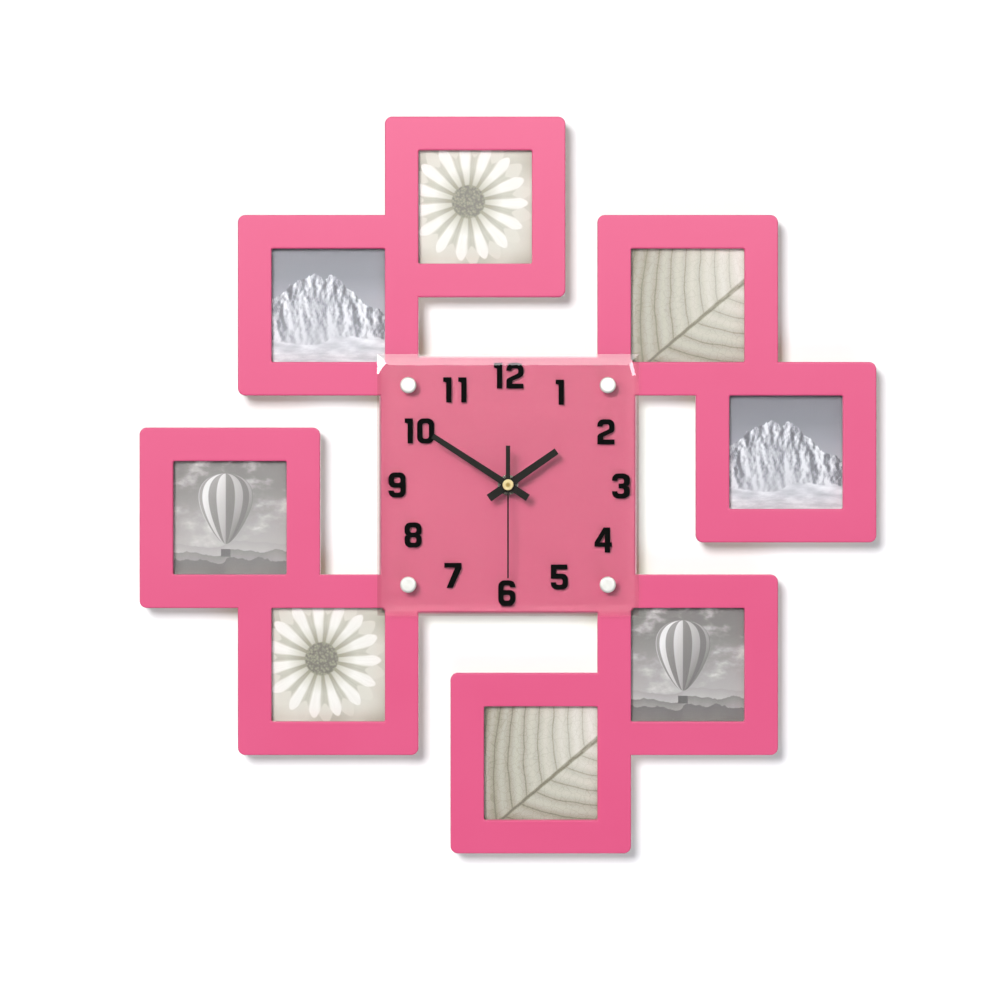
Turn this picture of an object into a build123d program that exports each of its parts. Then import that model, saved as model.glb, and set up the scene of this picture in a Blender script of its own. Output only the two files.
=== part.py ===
"""Wall clock with a pinwheel of eight square photo windows round a bevelled glass dial.

Millimetres. X runs to the right seen from the front, Z runs up and the front faces -Y.
The wall is the plane y = 0, and the hands turn on the line x = z = 0.
Depths are measured out from the wall, towards the front.
"""
import os
from math import cos, radians, sin

from build123d import *

# Outline of the pinwheel, seen from the front
overall = 500.0
frame_size = 122.5
border = 22.75
corner_offset = 122.0
dial_field = 171.0
corner_radius = 5.0
window_corner = 1.2
front_softening = 1.0

# Depths of the board and of what each window holds
wall_gap = 12.0
board_thickness = 9.0
rebate_depth = 4.0
rebate_lap = 3.0
rebate_corner = 1.2
insert_clearance = 0.4
pane_thickness = 1.0
print_thickness = 0.3
print_gap = 0.1

# Turn buttons that hold the backing boards, and their screws
button_thickness = 0.8
button_width = 8.0
button_reach = 16.0
button_tail = 5.0
button_inset = 6.0
button_screw_radius = 1.4
button_head_radius = 2.9
button_head_height = 1.6
button_head_chamfer = 0.5
button_screw_depth = 4.0

# Dial glass on four spacers, held by screws under domed caps
dial_gap = 3.0
glass_size = 177.0
glass_thickness = 5.0
bevel_width = 7.5
bevel_depth = 2.0
screw_offset = 67.5
glass_hole_radius = 3.0
centre_hole_radius = 4.6
spacer_radius = 4.5
screw_radius = 2.0
screw_head_radius = 4.0
screw_head_height = 1.2
screw_cover_depth = 2.0
cap_radius = 5.5
cap_height = 3.2
cap_softening = 1.6

# Quartz movement
case_size = 56.0
case_depth = 17.0
case_corner = 3.0
case_wall = 1.2
case_front_wall = 1.5
cover_thickness = 1.5
cover_ledge = 1.0
cover_clearance = 0.15
pocket_clearance = 0.5
gasket_thickness = 1.0
gasket_radius = 14.0
bush_radius = 4.0
washer_radius = 6.9
washer_thickness = 0.5
nut_across_flats = 12.0
nut_thickness = 2.5
tab_width = 16.0
tab_thickness = 2.5
hanger_rise = 6.5
hanger_radius = 3.0

# AA cell lying along the bottom of the movement
cell_radius = 7.1
cell_length = 49.2
nub_radius = 2.75
nub_length = 1.3
bay_height = 14.5
bay_floor_wall = 0.9
bay_partition = 1.2
cell_clearance = 0.2
cell_softening = 0.6
contact_thickness = 0.4
contact_width = 11.0

# Clearances of things that turn, of things pressed together, and of loose holes
running = 0.06
thread_clearance = 0.05
axial_gap = 0.6
hole_bottom = 0.3
bush_clearance = 0.3
gasket_clearance = 0.2
spacer_clearance = 0.2
washer_clearance = 0.15

# Room left in the movement round its wheels, its motor and its circuit
coil_room = 0.6
coil_end_room = 0.4
cavity_room = 0.2
stator_room = 1.8
circuit_room = 0.6
circuit_boss_room = 1.4
circuit_partition_room = 1.4

# Gear teeth as shares of the module and of the tooth pitch
addendum = 0.75
dedendum = 1.05
root_share = 0.58
tip_share = 0.22

# Train: teeth of each mesh, and the distance between the two axes
rotor_teeth = 12
intermediate_teeth = 60
intermediate_pinion_teeth = 10
second_teeth = 60
second_pinion_teeth = 8
third_teeth = 60
third_pinion_teeth = 8
centre_teeth = 64
cannon_teeth = 12
minute_teeth = 36
minute_pinion_teeth = 10
hour_teeth = 40
knob_teeth = 20
rotor_distance = 10.8
intermediate_distance = 12.25
third_distance = 12.0
minute_distance = 9.0
knob_distance = 10.5

# Directions of those axes in degrees, anticlockwise from +X seen from the front
rotor_angle = 0.0
intermediate_angle = 60.0
third_angle = 165.0
minute_angle = 0.0
knob_angle = -10.0

# Depths of the wheels in the movement
wheel_thickness = 1.0
hour_layer = 14.0
minute_layer = 12.2
centre_layer = 10.4
third_layer = 8.4
second_layer = 6.4
intermediate_layer = 4.2
pivot_radius = 0.5
pivot_start = 2.2
pivot_end = 12.8
boss_radius = 1.6
boss_end = 12.0
cover_boss_end = 3.4
post_radius = 1.0
post_lead = 0.3
pinion_margin = 0.2
shaft_stop = 0.1

# Concentric shafts of the hands
second_shaft_radius = 0.5
minute_tube_radius = 1.5
hour_tube_radius = 2.5

# Stepping motor and its circuit
magnet_radius = 3.0
magnet_start = 7.5
magnet_height = 3.0
stator_hole = 3.6
stator_thickness = 0.8
stator_layer = 8.6
stator_rim = 1.5
stator_bar = 2.8
stator_arm = 3.8
stator_post_radius = 1.4
stator_post_inset = 2.0
core_width = 4.0
core_thickness = 1.0
coil_radius = 3.4
coil_length = 27.6
flange_radius = 3.7
flange_thickness = 0.8
circuit_thickness = 0.8
circuit_layer = 13.4
circuit_height = 23.0
circuit_post_inset = 2.0
chip_radius = 2.4
chip_height = 0.9
chip_softening = 0.6
chip_inset = 3.8
chip_drop = 7.0
crystal_radius = 1.0
crystal_length = 6.0
crystal_inset = 2.2
crystal_rise = 9.0

# Setting knob, sunk in the back of the movement
knob_radius = 4.8
knob_well_radius = 5.4
knob_well_wall = 0.8
knob_height = 1.9
knob_recess = 0.3
knob_notches = 12
knob_notch_radius = 0.6
knob_shaft_radius = 1.0
knob_floor_gap = 0.3
knob_boss_wall = 0.8
knob_boss_gap = 0.4

# Hands, at ten to two and thirty seconds
hour_angle = 55.25
minute_hand_angle = 303.0
second_angle = 180.0
hand_thickness = 0.5
collet_length = 1.2
collet_wall = 1.0
hour_length = 40.0
hour_tail = 15.7
hour_width = 5.5
hour_tip_width = 4.6
hour_eye = 4.9
minute_length = 60.6
minute_tail = 16.0
minute_width = 5.0
minute_tip_width = 3.7
minute_eye = 4.75
second_length = 63.0
second_width = 1.1
second_tail = 26.5
second_tail_width = 2.9
second_eye = 2.6
second_thickness = 0.3
boss_disc_radius = 3.75
boss_disc_height = 1.2
boss_tube_radius = 1.2
boss_softening = 0.4
dimple_radius = 1.0
dimple_depth = 0.3

# Sizes that follow from those above
board_front = wall_gap + board_thickness
window = frame_size - 2 * border
rebate = window + 2 * rebate_lap
insert = rebate - 2 * insert_clearance
lip_depth = wall_gap + rebate_depth
pane_back = lip_depth - pane_thickness
print_back = pane_back - print_gap - print_thickness
side_across = frame_size - border - corner_offset
side_along = (overall - frame_size) / 2
glass_back = board_front + dial_gap
glass_front = glass_back + glass_thickness
case_inner = case_depth - case_front_wall
pocket_floor = case_depth + gasket_thickness
nut_front = glass_front + washer_thickness + nut_thickness
bush_end = nut_front + axial_gap
hour_tip = bush_end + axial_gap + collet_length
minute_tip = hour_tip + axial_gap + collet_length
second_back = minute_tip + axial_gap
second_blade = second_back + collet_length - second_thickness
boss_front = second_back + collet_length + boss_disc_height

places = ("top", "upper_right", "right", "lower_right", "bottom", "lower_left", "left", "upper_left")
spots = [
    (side_across, side_along),
    (corner_offset, corner_offset),
    (side_along, -side_across),
    (corner_offset, -corner_offset),
    (-side_across, -side_along),
    (-corner_offset, -corner_offset),
    (-side_along, side_across),
    (-corner_offset, corner_offset),
]
button_offset = rebate / 2 + button_inset
button_spots = [(x + side * button_offset, z) for x, z in spots for side in (-1, 1)]
screw_spots = [(sx * screw_offset, sz * screw_offset) for sx in (-1, 1) for sz in (-1, 1)]


def polar(centre, distance, angle):
    """Point at a distance and an angle in degrees from a centre."""
    return (centre[0] + distance * cos(radians(angle)), centre[1] + distance * sin(radians(angle)))


def module_of(distance, teeth, mates):
    """Module of two meshing gears whose axes stand a distance apart."""
    return 2 * distance / (teeth + mates)


def mesh_phase(phase, teeth, direction, mates):
    """Angle of a tooth of the mate that meshes with a gear turned by phase, in degrees."""
    share = ((direction - phase) * teeth / 360) % 1
    return direction + 180 - (0.5 - share) * 360 / mates


axis = (0.0, 0.0)
third_axis = polar(axis, third_distance, third_angle)
intermediate_axis = polar(axis, intermediate_distance, intermediate_angle)
rotor_axis = polar(intermediate_axis, rotor_distance, rotor_angle)
minute_axis = polar(axis, minute_distance, minute_angle)
knob_axis = polar(minute_axis, knob_distance, knob_angle)

rotor_module = module_of(rotor_distance, rotor_teeth, intermediate_teeth)
intermediate_module = module_of(intermediate_distance, intermediate_pinion_teeth, second_teeth)
second_module = module_of(third_distance, second_pinion_teeth, third_teeth)
third_module = module_of(third_distance, third_pinion_teeth, centre_teeth)
cannon_module = module_of(minute_distance, cannon_teeth, minute_teeth)
hour_module = module_of(minute_distance, minute_pinion_teeth, hour_teeth)
knob_module = module_of(knob_distance, minute_teeth, knob_teeth)

# Each pinion points a tooth at its wheel, and the wheel turns a space to meet it
intermediate_phase = mesh_phase(rotor_angle + 180, rotor_teeth, rotor_angle + 180, intermediate_teeth)
second_phase = mesh_phase(
    intermediate_angle + 180, intermediate_pinion_teeth, intermediate_angle + 180, second_teeth
)
third_phase = mesh_phase(third_angle, second_pinion_teeth, third_angle, third_teeth)
centre_phase = mesh_phase(third_angle + 180, third_pinion_teeth, third_angle + 180, centre_teeth)
minute_phase = mesh_phase(minute_angle, cannon_teeth, minute_angle, minute_teeth)
hour_phase = mesh_phase(minute_angle + 180, minute_pinion_teeth, minute_angle + 180, hour_teeth)
knob_phase = mesh_phase(minute_phase, minute_teeth, knob_angle, knob_teeth)

# Case, with the cell's bay along its lower edge and the train's room above the partition
half_case = case_size / 2
cover_half = half_case - case_wall
cavity_half = cover_half - cover_ledge
bay_low = -half_case + bay_floor_wall
bay_high = bay_low + bay_height
partition_high = bay_high + bay_partition
cell_height = (bay_low + bay_high) / 2
cell_depth = case_inner - cell_clearance - cell_radius
pad_length = cover_half - contact_thickness - (cell_length + nub_length + cell_clearance) / 2
hanger_height = half_case + hanger_rise

# Motor under the top wall of the case: the coil clears the wall, and the stator's bar the coil
coil_height = cavity_half - cavity_room - flange_radius
core_high = coil_height + core_width / 2
bar_high = coil_height - flange_radius - coil_room
bar_low = bar_high - stator_bar
core_layer = stator_layer + stator_thickness
coil_depth = core_layer + core_thickness / 2

# Stator and coil along the top of the case, circuit board down its left side
stator_right = cavity_half - stator_room
coil_right = stator_right - stator_arm - coil_end_room
coil_left = coil_right - coil_length
stator_left = coil_left - coil_end_room - stator_arm
stator_plate_left = rotor_axis[0] - stator_hole - stator_rim
stator_plate_low = rotor_axis[1] - stator_hole - stator_rim
stator_posts = [
    (stator_left + stator_arm / 2, bar_low + stator_bar / 2),
    (stator_right - stator_arm / 2, stator_plate_low + stator_post_inset),
]
circuit_left = -cavity_half + circuit_room
circuit_right = third_axis[0] - boss_radius - circuit_boss_room
circuit_low = partition_high + circuit_partition_room
circuit_high = circuit_low + circuit_height
circuit_posts = [
    (circuit_left + circuit_post_inset, circuit_low + circuit_post_inset),
    (circuit_right - circuit_post_inset, circuit_high - circuit_post_inset),
]
well_floor = knob_recess + knob_height + knob_floor_gap


def at(depth):
    """Plane parallel to the wall, at a depth out from it."""
    return Plane.XZ.offset(depth)


def hand_plane(depth, angle):
    """Plane at a depth whose local Y axis points along a hand, clockwise from twelve."""
    across = (cos(radians(angle)), 0, -sin(radians(angle)))
    return Plane((0, -depth, 0), across, (0, -1, 0))


class GearOutline(BaseSketchObject):
    """Gear outline with straight-sided teeth, the first one centred on the local X axis."""

    def __init__(self, teeth, module, rotation=0, mode=Mode.ADD):
        root = module * (teeth / 2 - dedendum)
        tip = module * (teeth / 2 + addendum)
        corners = ((root, -root_share), (tip, -tip_share), (tip, tip_share), (root, root_share))
        points = []
        for tooth in range(teeth):
            for radius, share in corners:
                points.append(polar((0, 0), radius, (tooth + share / 2) * 360 / teeth))
        with BuildSketch() as outline:
            with BuildLine():
                Polyline(*points, close=True)
            make_face()
        super().__init__(outline.sketch, rotation, None, mode)


os.makedirs("parts", exist_ok=True)

# Board: eight overlapping squares round the dial field, cut from one sheet
with BuildPart() as frame_board:
    with BuildSketch(at(wall_gap)):
        Rectangle(dial_field, dial_field)
        with Locations(*spots):
            RectangleRounded(frame_size, frame_size, corner_radius)
    extrude(amount=board_thickness)
    with BuildSketch(at(wall_gap)):
        with Locations(*spots):
            RectangleRounded(window, window, window_corner)
    extrude(amount=board_thickness, mode=Mode.SUBTRACT)
    fillet(frame_board.faces().sort_by(Axis.Y)[0].edges(), front_softening)
    # Rebates for the panes, from the back
    with BuildSketch(at(wall_gap)):
        with Locations(*spots):
            RectangleRounded(rebate, rebate, rebate_corner)
    extrude(amount=rebate_depth, mode=Mode.SUBTRACT)
    # Pocket that takes the movement
    with BuildSketch(at(wall_gap)):
        RectangleRounded(
            case_size + 2 * pocket_clearance,
            case_size + 2 * pocket_clearance,
            case_corner + pocket_clearance,
        )
    extrude(amount=pocket_floor - wall_gap, mode=Mode.SUBTRACT)
    # Hole for the bush, and pilot holes for the screws
    with BuildSketch(at(wall_gap)):
        Circle(bush_radius + bush_clearance)
    extrude(amount=board_thickness, mode=Mode.SUBTRACT)
    with BuildSketch(at(wall_gap)):
        with Locations(*button_spots):
            Circle(button_screw_radius + thread_clearance)
    extrude(amount=button_screw_depth + hole_bottom, mode=Mode.SUBTRACT)
    with BuildSketch(at(wall_gap + screw_cover_depth - hole_bottom)):
        with Locations(*screw_spots):
            Circle(screw_radius + thread_clearance)
    extrude(amount=board_thickness, mode=Mode.SUBTRACT)
frame_board.part.label = "frame_board"
export_step(frame_board.part, "parts/frame_board.step")

# Clear panes, one in each rebate
with BuildPart() as glazing_panes:
    with BuildSketch(at(pane_back)):
        with Locations(*spots):
            Rectangle(insert, insert)
    extrude(amount=pane_thickness)
glazing_panes.part.label = "glazing_panes"
export_step(glazing_panes.part, "parts/glazing_panes.step")

# Photograph behind each pane
for place, spot in zip(places, spots):
    with BuildPart() as photo_print:
        with BuildSketch(at(print_back)):
            with Locations(spot):
                Rectangle(insert, insert)
        extrude(amount=print_thickness)
    photo_print.part.label = f"photo_print_{place}"
    export_step(photo_print.part, f"parts/photo_print_{place}.step")

# Hardboard backings, flush with the back of the board
with BuildPart() as backing_boards:
    with BuildSketch(at(wall_gap)):
        with Locations(*spots):
            Rectangle(insert, insert)
    extrude(amount=print_back - wall_gap)
backing_boards.part.label = "backing_boards"
export_step(backing_boards.part, "parts/backing_boards.step")

# Turn buttons, one at the left and one at the right of each window, lying over the backing
for place, (x, z) in zip(places, spots):
    for hand, side in (("left", -1), ("right", 1)):
        with BuildPart() as turn_button:
            with BuildSketch(at(wall_gap - button_thickness)):
                with Locations((x + side * (button_offset - (button_reach - button_tail) / 2), z)):
                    SlotOverall(button_reach + button_tail, button_width)
                with Locations((x + side * button_offset, z)):
                    Circle(button_screw_radius + running, mode=Mode.SUBTRACT)
            extrude(amount=button_thickness)
        turn_button.part.label = f"turn_button_{place}_{hand}"
        export_step(turn_button.part, f"parts/turn_button_{place}_{hand}.step")

# Pan-head screws of the turn buttons
with BuildPart() as turn_button_screws:
    with BuildSketch(at(wall_gap - button_thickness - button_head_height)):
        with Locations(*button_spots):
            Circle(button_head_radius)
    extrude(amount=button_head_height)
    chamfer(turn_button_screws.faces().group_by(Axis.Y)[-1].edges(), button_head_chamfer)
    with BuildSketch(at(wall_gap - button_thickness)):
        with Locations(*button_spots):
            Circle(button_screw_radius)
    extrude(amount=button_thickness + button_screw_depth)
turn_button_screws.part.label = "turn_button_screws"
export_step(turn_button_screws.part, "parts/turn_button_screws.step")

# Dial glass with a wide polished bevel on its front edges
with BuildPart() as dial_glass:
    with BuildSketch(at(glass_back)):
        Rectangle(glass_size, glass_size)
    extrude(amount=glass_thickness - bevel_depth)
    with BuildSketch(at(glass_front - bevel_depth)):
        Rectangle(glass_size, glass_size)
    with BuildSketch(at(glass_front)):
        Rectangle(glass_size - 2 * bevel_width, glass_size - 2 * bevel_width)
    loft()
    with BuildSketch(at(glass_back)):
        Circle(centre_hole_radius)
        with Locations(*screw_spots):
            Circle(glass_hole_radius)
    extrude(amount=glass_thickness, mode=Mode.SUBTRACT)
dial_glass.part.label = "dial_glass"
export_step(dial_glass.part, "parts/dial_glass.step")

# Spacers that stand the glass off the board
with BuildPart() as dial_spacers:
    with BuildSketch(at(board_front)):
        with Locations(*screw_spots):
            Circle(spacer_radius)
            Circle(screw_radius + spacer_clearance, mode=Mode.SUBTRACT)
    extrude(amount=dial_gap)
dial_spacers.part.label = "dial_spacers"
export_step(dial_spacers.part, "parts/dial_spacers.step")

# Screws through the glass and the spacers into the board
with BuildPart() as dial_screws:
    with BuildSketch(at(wall_gap + screw_cover_depth)):
        with Locations(*screw_spots):
            Circle(screw_radius)
    extrude(amount=glass_front - wall_gap - screw_cover_depth)
    with BuildSketch(at(glass_front)):
        with Locations(*screw_spots):
            Circle(screw_head_radius)
    extrude(amount=screw_head_height)
dial_screws.part.label = "dial_screws"
export_step(dial_screws.part, "parts/dial_screws.step")

# Domed caps over the screw heads
with BuildPart() as screw_caps:
    with BuildSketch(at(glass_front)):
        with Locations(*screw_spots):
            Circle(cap_radius)
    extrude(amount=cap_height)
    fillet(screw_caps.faces().group_by(Axis.Y)[0].edges(), cap_softening)
    with BuildSketch(at(glass_front)):
        with Locations(*screw_spots):
            Circle(screw_head_radius + thread_clearance)
    extrude(amount=screw_head_height + thread_clearance, mode=Mode.SUBTRACT)
screw_caps.part.label = "screw_caps"
export_step(screw_caps.part, "parts/screw_caps.step")

# Movement case: tub open at the back, with the hollow bush, the cell bay and a hanger tab
with BuildPart() as movement_case:
    with BuildSketch(at(0)):
        RectangleRounded(case_size, case_size, case_corner)
    extrude(amount=case_depth)
    # Room for the train above the cell, with a ledge for the cover
    with BuildSketch(at(0)):
        with Locations((0, (partition_high + cover_half) / 2)):
            Rectangle(2 * cover_half, cover_half - partition_high)
    extrude(amount=cover_thickness, mode=Mode.SUBTRACT)
    with BuildSketch(at(cover_thickness)):
        with Locations((0, (partition_high + cavity_half) / 2)):
            Rectangle(2 * cavity_half, cavity_half - partition_high)
    extrude(amount=case_inner - cover_thickness, mode=Mode.SUBTRACT)
    # Bay for the cell, open at the back
    with BuildSketch(at(0)):
        with Locations((0, cell_height)):
            Rectangle(2 * cover_half, bay_height)
    extrude(amount=case_inner, mode=Mode.SUBTRACT)
    # Bosses for the pivots, posts for the stator and the circuit board
    with BuildSketch(at(boss_end)):
        with Locations(third_axis, intermediate_axis, rotor_axis):
            Circle(boss_radius)
            Circle(pivot_radius + running, mode=Mode.SUBTRACT)
    extrude(amount=case_inner - boss_end)
    with BuildSketch(at(minute_layer + wheel_thickness + knob_boss_gap)):
        with Locations(knob_axis):
            Circle(knob_shaft_radius + running + knob_boss_wall)
            Circle(knob_shaft_radius + running, mode=Mode.SUBTRACT)
    extrude(amount=case_inner - minute_layer - wheel_thickness - knob_boss_gap)
    with BuildSketch(at(minute_layer - post_lead)):
        with Locations(minute_axis):
            Circle(post_radius)
    extrude(amount=case_inner - minute_layer + post_lead)
    with BuildSketch(at(core_layer)):
        with Locations(*stator_posts):
            Circle(stator_post_radius)
    extrude(amount=case_inner - core_layer)
    with BuildSketch(at(circuit_layer + circuit_thickness)):
        with Locations(*circuit_posts):
            Circle(post_radius)
    extrude(amount=case_inner - circuit_layer - circuit_thickness)
    # Hollow bush that goes through the board and the glass
    with BuildSketch(at(case_depth)):
        Circle(bush_radius)
    extrude(amount=bush_end - case_depth)
    with BuildSketch(at(case_inner)):
        Circle(hour_tube_radius + running)
    extrude(amount=bush_end - case_inner, mode=Mode.SUBTRACT)
    # Hanger tab with a round hole, flat against the wall
    with BuildSketch(at(0)):
        with Locations((0, (cover_half + hanger_height) / 2)):
            Rectangle(tab_width, hanger_height - cover_half)
        with Locations((0, hanger_height)):
            Circle(tab_width / 2)
            Circle(hanger_radius, mode=Mode.SUBTRACT)
        with Locations((0, cover_half - tab_width / 2)):
            Rectangle(tab_width, tab_width, mode=Mode.SUBTRACT)
    extrude(amount=tab_thickness)
movement_case.part.label = "movement_case"
export_step(movement_case.part, "parts/movement_case.step")

# Cover of the train, with the rear pivots and a sunk well for the setting knob
with BuildPart() as movement_cover:
    with BuildSketch(at(0)):
        with Locations((0, (partition_high + cover_half) / 2)):
            Rectangle(
                2 * (cover_half - cover_clearance),
                cover_half - partition_high - 2 * cover_clearance,
            )
    extrude(amount=cover_thickness)
    with BuildSketch(at(cover_thickness)):
        with Locations(axis, third_axis, intermediate_axis, rotor_axis):
            Circle(boss_radius)
    extrude(amount=cover_boss_end - cover_thickness)
    with BuildSketch(at(cover_boss_end)):
        with Locations(axis, third_axis, intermediate_axis, rotor_axis):
            Circle(pivot_radius + running)
    extrude(amount=pivot_start - hole_bottom - cover_boss_end, mode=Mode.SUBTRACT)
    with BuildSketch(at(0)):
        with Locations(knob_axis):
            Circle(knob_well_radius + knob_well_wall)
    extrude(amount=well_floor + knob_well_wall)
    with BuildSketch(at(0)):
        with Locations(knob_axis):
            Circle(knob_well_radius)
    extrude(amount=well_floor, mode=Mode.SUBTRACT)
    with BuildSketch(at(0)):
        with Locations(knob_axis):
            Circle(knob_shaft_radius + running)
    extrude(amount=well_floor + knob_well_wall, mode=Mode.SUBTRACT)
movement_cover.part.label = "movement_cover"
export_step(movement_cover.part, "parts/movement_cover.step")

# Gasket between the movement and the board
with BuildPart() as rubber_gasket:
    with BuildSketch(at(case_depth)):
        Circle(gasket_radius)
        Circle(bush_radius + gasket_clearance, mode=Mode.SUBTRACT)
    extrude(amount=gasket_thickness)
rubber_gasket.part.label = "rubber_gasket"
export_step(rubber_gasket.part, "parts/rubber_gasket.step")

# Washer and hexagonal nut that clamp the movement from the front
with BuildPart() as nut_washer:
    with BuildSketch(at(glass_front)):
        Circle(washer_radius)
        Circle(bush_radius + washer_clearance, mode=Mode.SUBTRACT)
    extrude(amount=washer_thickness)
nut_washer.part.label = "nut_washer"
export_step(nut_washer.part, "parts/nut_washer.step")

with BuildPart() as mounting_nut:
    with BuildSketch(at(glass_front + washer_thickness)):
        RegularPolygon(nut_across_flats / 2, 6, major_radius=False)
        Circle(bush_radius + thread_clearance, mode=Mode.SUBTRACT)
    extrude(amount=nut_thickness)
mounting_nut.part.label = "mounting_nut"
export_step(mounting_nut.part, "parts/mounting_nut.step")

# AA cell with its raised terminal to the right
cell_plane = Plane((-(cell_length + nub_length) / 2, -cell_depth, cell_height), (0, 1, 0), (1, 0, 0))
with BuildPart() as battery:
    with BuildSketch(cell_plane):
        Circle(cell_radius)
    extrude(amount=cell_length)
    fillet(battery.edges().filter_by(GeomType.CIRCLE), cell_softening)
    with BuildSketch(cell_plane.offset(cell_length)):
        Circle(nub_radius)
    extrude(amount=nub_length)
battery.part.label = "battery"
export_step(battery.part, "parts/battery.step")

# Contact strips at the two ends of the bay, each with a raised pad that meets the cell
with BuildPart() as battery_contacts:
    with BuildSketch(Plane.YZ.offset(-cover_half)):
        with Locations((-cell_depth, cell_height)):
            Rectangle(contact_width, contact_width)
    extrude(amount=contact_thickness)
    with BuildSketch(Plane.YZ.offset(-cover_half + contact_thickness)):
        with Locations((-cell_depth, cell_height)):
            Circle(nub_radius)
    extrude(amount=pad_length)
    mirror(about=Plane.YZ)
battery_contacts.part.label = "battery_contacts"
export_step(battery_contacts.part, "parts/battery_contacts.step")

# Circuit board with its sealed chip, and the quartz crystal in a can
with BuildPart() as circuit_board:
    with BuildSketch(at(circuit_layer)):
        with Locations(((circuit_left + circuit_right) / 2, (circuit_low + circuit_high) / 2)):
            Rectangle(circuit_right - circuit_left, circuit_height)
    extrude(amount=circuit_thickness)
    with BuildSketch(at(circuit_layer)):
        with Locations((circuit_right - chip_inset, circuit_high - chip_drop)):
            Circle(chip_radius)
    extrude(amount=-chip_height)
    fillet(circuit_board.faces().sort_by(Axis.Y)[-1].edges(), chip_softening)
circuit_board.part.label = "circuit_board"
export_step(circuit_board.part, "parts/circuit_board.step")

crystal_end = (circuit_left + crystal_inset, crystal_radius - circuit_layer, circuit_low + crystal_rise)
with BuildPart() as quartz_crystal:
    with BuildSketch(Plane(crystal_end, (1, 0, 0), (0, 0, 1))):
        Circle(crystal_radius)
    extrude(amount=crystal_length)
quartz_crystal.part.label = "quartz_crystal"
export_step(quartz_crystal.part, "parts/quartz_crystal.step")

# Motor: stator plate round the rotor, core bar, and coil
with BuildPart() as stator:
    with BuildSketch(at(stator_layer)):
        with BuildLine():
            Polyline(
                (stator_plate_left, stator_plate_low),
                (stator_right, stator_plate_low),
                (stator_right, core_high),
                (stator_right - stator_arm, core_high),
                (stator_right - stator_arm, bar_high),
                (stator_left + stator_arm, bar_high),
                (stator_left + stator_arm, core_high),
                (stator_left, core_high),
                (stator_left, bar_low),
                (stator_plate_left, bar_low),
                close=True,
            )
        make_face()
        with Locations(rotor_axis):
            Circle(stator_hole, mode=Mode.SUBTRACT)
    extrude(amount=stator_thickness)
stator.part.label = "stator"
export_step(stator.part, "parts/stator.step")

with BuildPart() as coil_core:
    with BuildSketch(at(core_layer)):
        with Locations(((stator_left + stator_right) / 2, coil_height)):
            Rectangle(stator_right - stator_left, core_width)
    extrude(amount=core_thickness)
coil_core.part.label = "coil_core"
export_step(coil_core.part, "parts/coil_core.step")

coil_plane = Plane((coil_left, -coil_depth, coil_height), (0, 1, 0), (1, 0, 0))
with BuildPart() as coil:
    with BuildSketch(coil_plane):
        Circle(coil_radius)
    extrude(amount=coil_length)
    with BuildSketch(coil_plane, coil_plane.offset(coil_length - flange_thickness)):
        Circle(flange_radius)
    extrude(amount=flange_thickness)
    with BuildSketch(coil_plane):
        Rectangle(core_thickness, core_width)
    extrude(amount=coil_length, mode=Mode.SUBTRACT)
coil.part.label = "coil"
export_step(coil.part, "parts/coil.step")

with BuildPart() as rotor:
    with BuildSketch(at(pivot_start)):
        with Locations(rotor_axis):
            Circle(pivot_radius)
    extrude(amount=pivot_end - pivot_start)
    with BuildSketch(at(intermediate_layer - pinion_margin)):
        with Locations(rotor_axis):
            GearOutline(rotor_teeth, rotor_module, rotor_angle + 180)
    extrude(amount=wheel_thickness + 2 * pinion_margin)
    with BuildSketch(at(magnet_start)):
        with Locations(rotor_axis):
            Circle(magnet_radius)
    extrude(amount=magnet_height)
rotor.part.label = "rotor"
export_step(rotor.part, "parts/rotor.step")

# Wheels of the train, from the motor to the hour hand
with BuildPart() as intermediate_wheel:
    with BuildSketch(at(pivot_start)):
        with Locations(intermediate_axis):
            Circle(pivot_radius)
    extrude(amount=pivot_end - pivot_start)
    with BuildSketch(at(intermediate_layer)):
        with Locations(intermediate_axis):
            GearOutline(intermediate_teeth, rotor_module, intermediate_phase)
    extrude(amount=wheel_thickness)
    with BuildSketch(at(intermediate_layer + wheel_thickness)):
        with Locations(intermediate_axis):
            GearOutline(intermediate_pinion_teeth, intermediate_module, intermediate_angle + 180)
    extrude(amount=second_layer - intermediate_layer + pinion_margin)
intermediate_wheel.part.label = "intermediate_wheel"
export_step(intermediate_wheel.part, "parts/intermediate_wheel.step")

second_shaft_end = second_back + collet_length + boss_disc_height / 2
with BuildPart() as second_wheel:
    with BuildSketch(at(pivot_start)):
        Circle(second_shaft_radius)
    extrude(amount=second_shaft_end - shaft_stop - pivot_start)
    with BuildSketch(at(second_layer)):
        GearOutline(second_teeth, intermediate_module, second_phase)
    extrude(amount=wheel_thickness)
    with BuildSketch(at(second_layer + wheel_thickness)):
        GearOutline(second_pinion_teeth, second_module, third_angle)
    extrude(amount=third_layer - second_layer + pinion_margin)
second_wheel.part.label = "second_wheel"
export_step(second_wheel.part, "parts/second_wheel.step")

with BuildPart() as third_wheel:
    with BuildSketch(at(pivot_start)):
        with Locations(third_axis):
            Circle(pivot_radius)
    extrude(amount=pivot_end - pivot_start)
    with BuildSketch(at(third_layer)):
        with Locations(third_axis):
            GearOutline(third_teeth, second_module, third_phase)
    extrude(amount=wheel_thickness)
    with BuildSketch(at(third_layer + wheel_thickness)):
        with Locations(third_axis):
            GearOutline(third_pinion_teeth, third_module, third_angle + 180)
    extrude(amount=centre_layer - third_layer + pinion_margin)
third_wheel.part.label = "third_wheel"
export_step(third_wheel.part, "parts/third_wheel.step")

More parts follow.
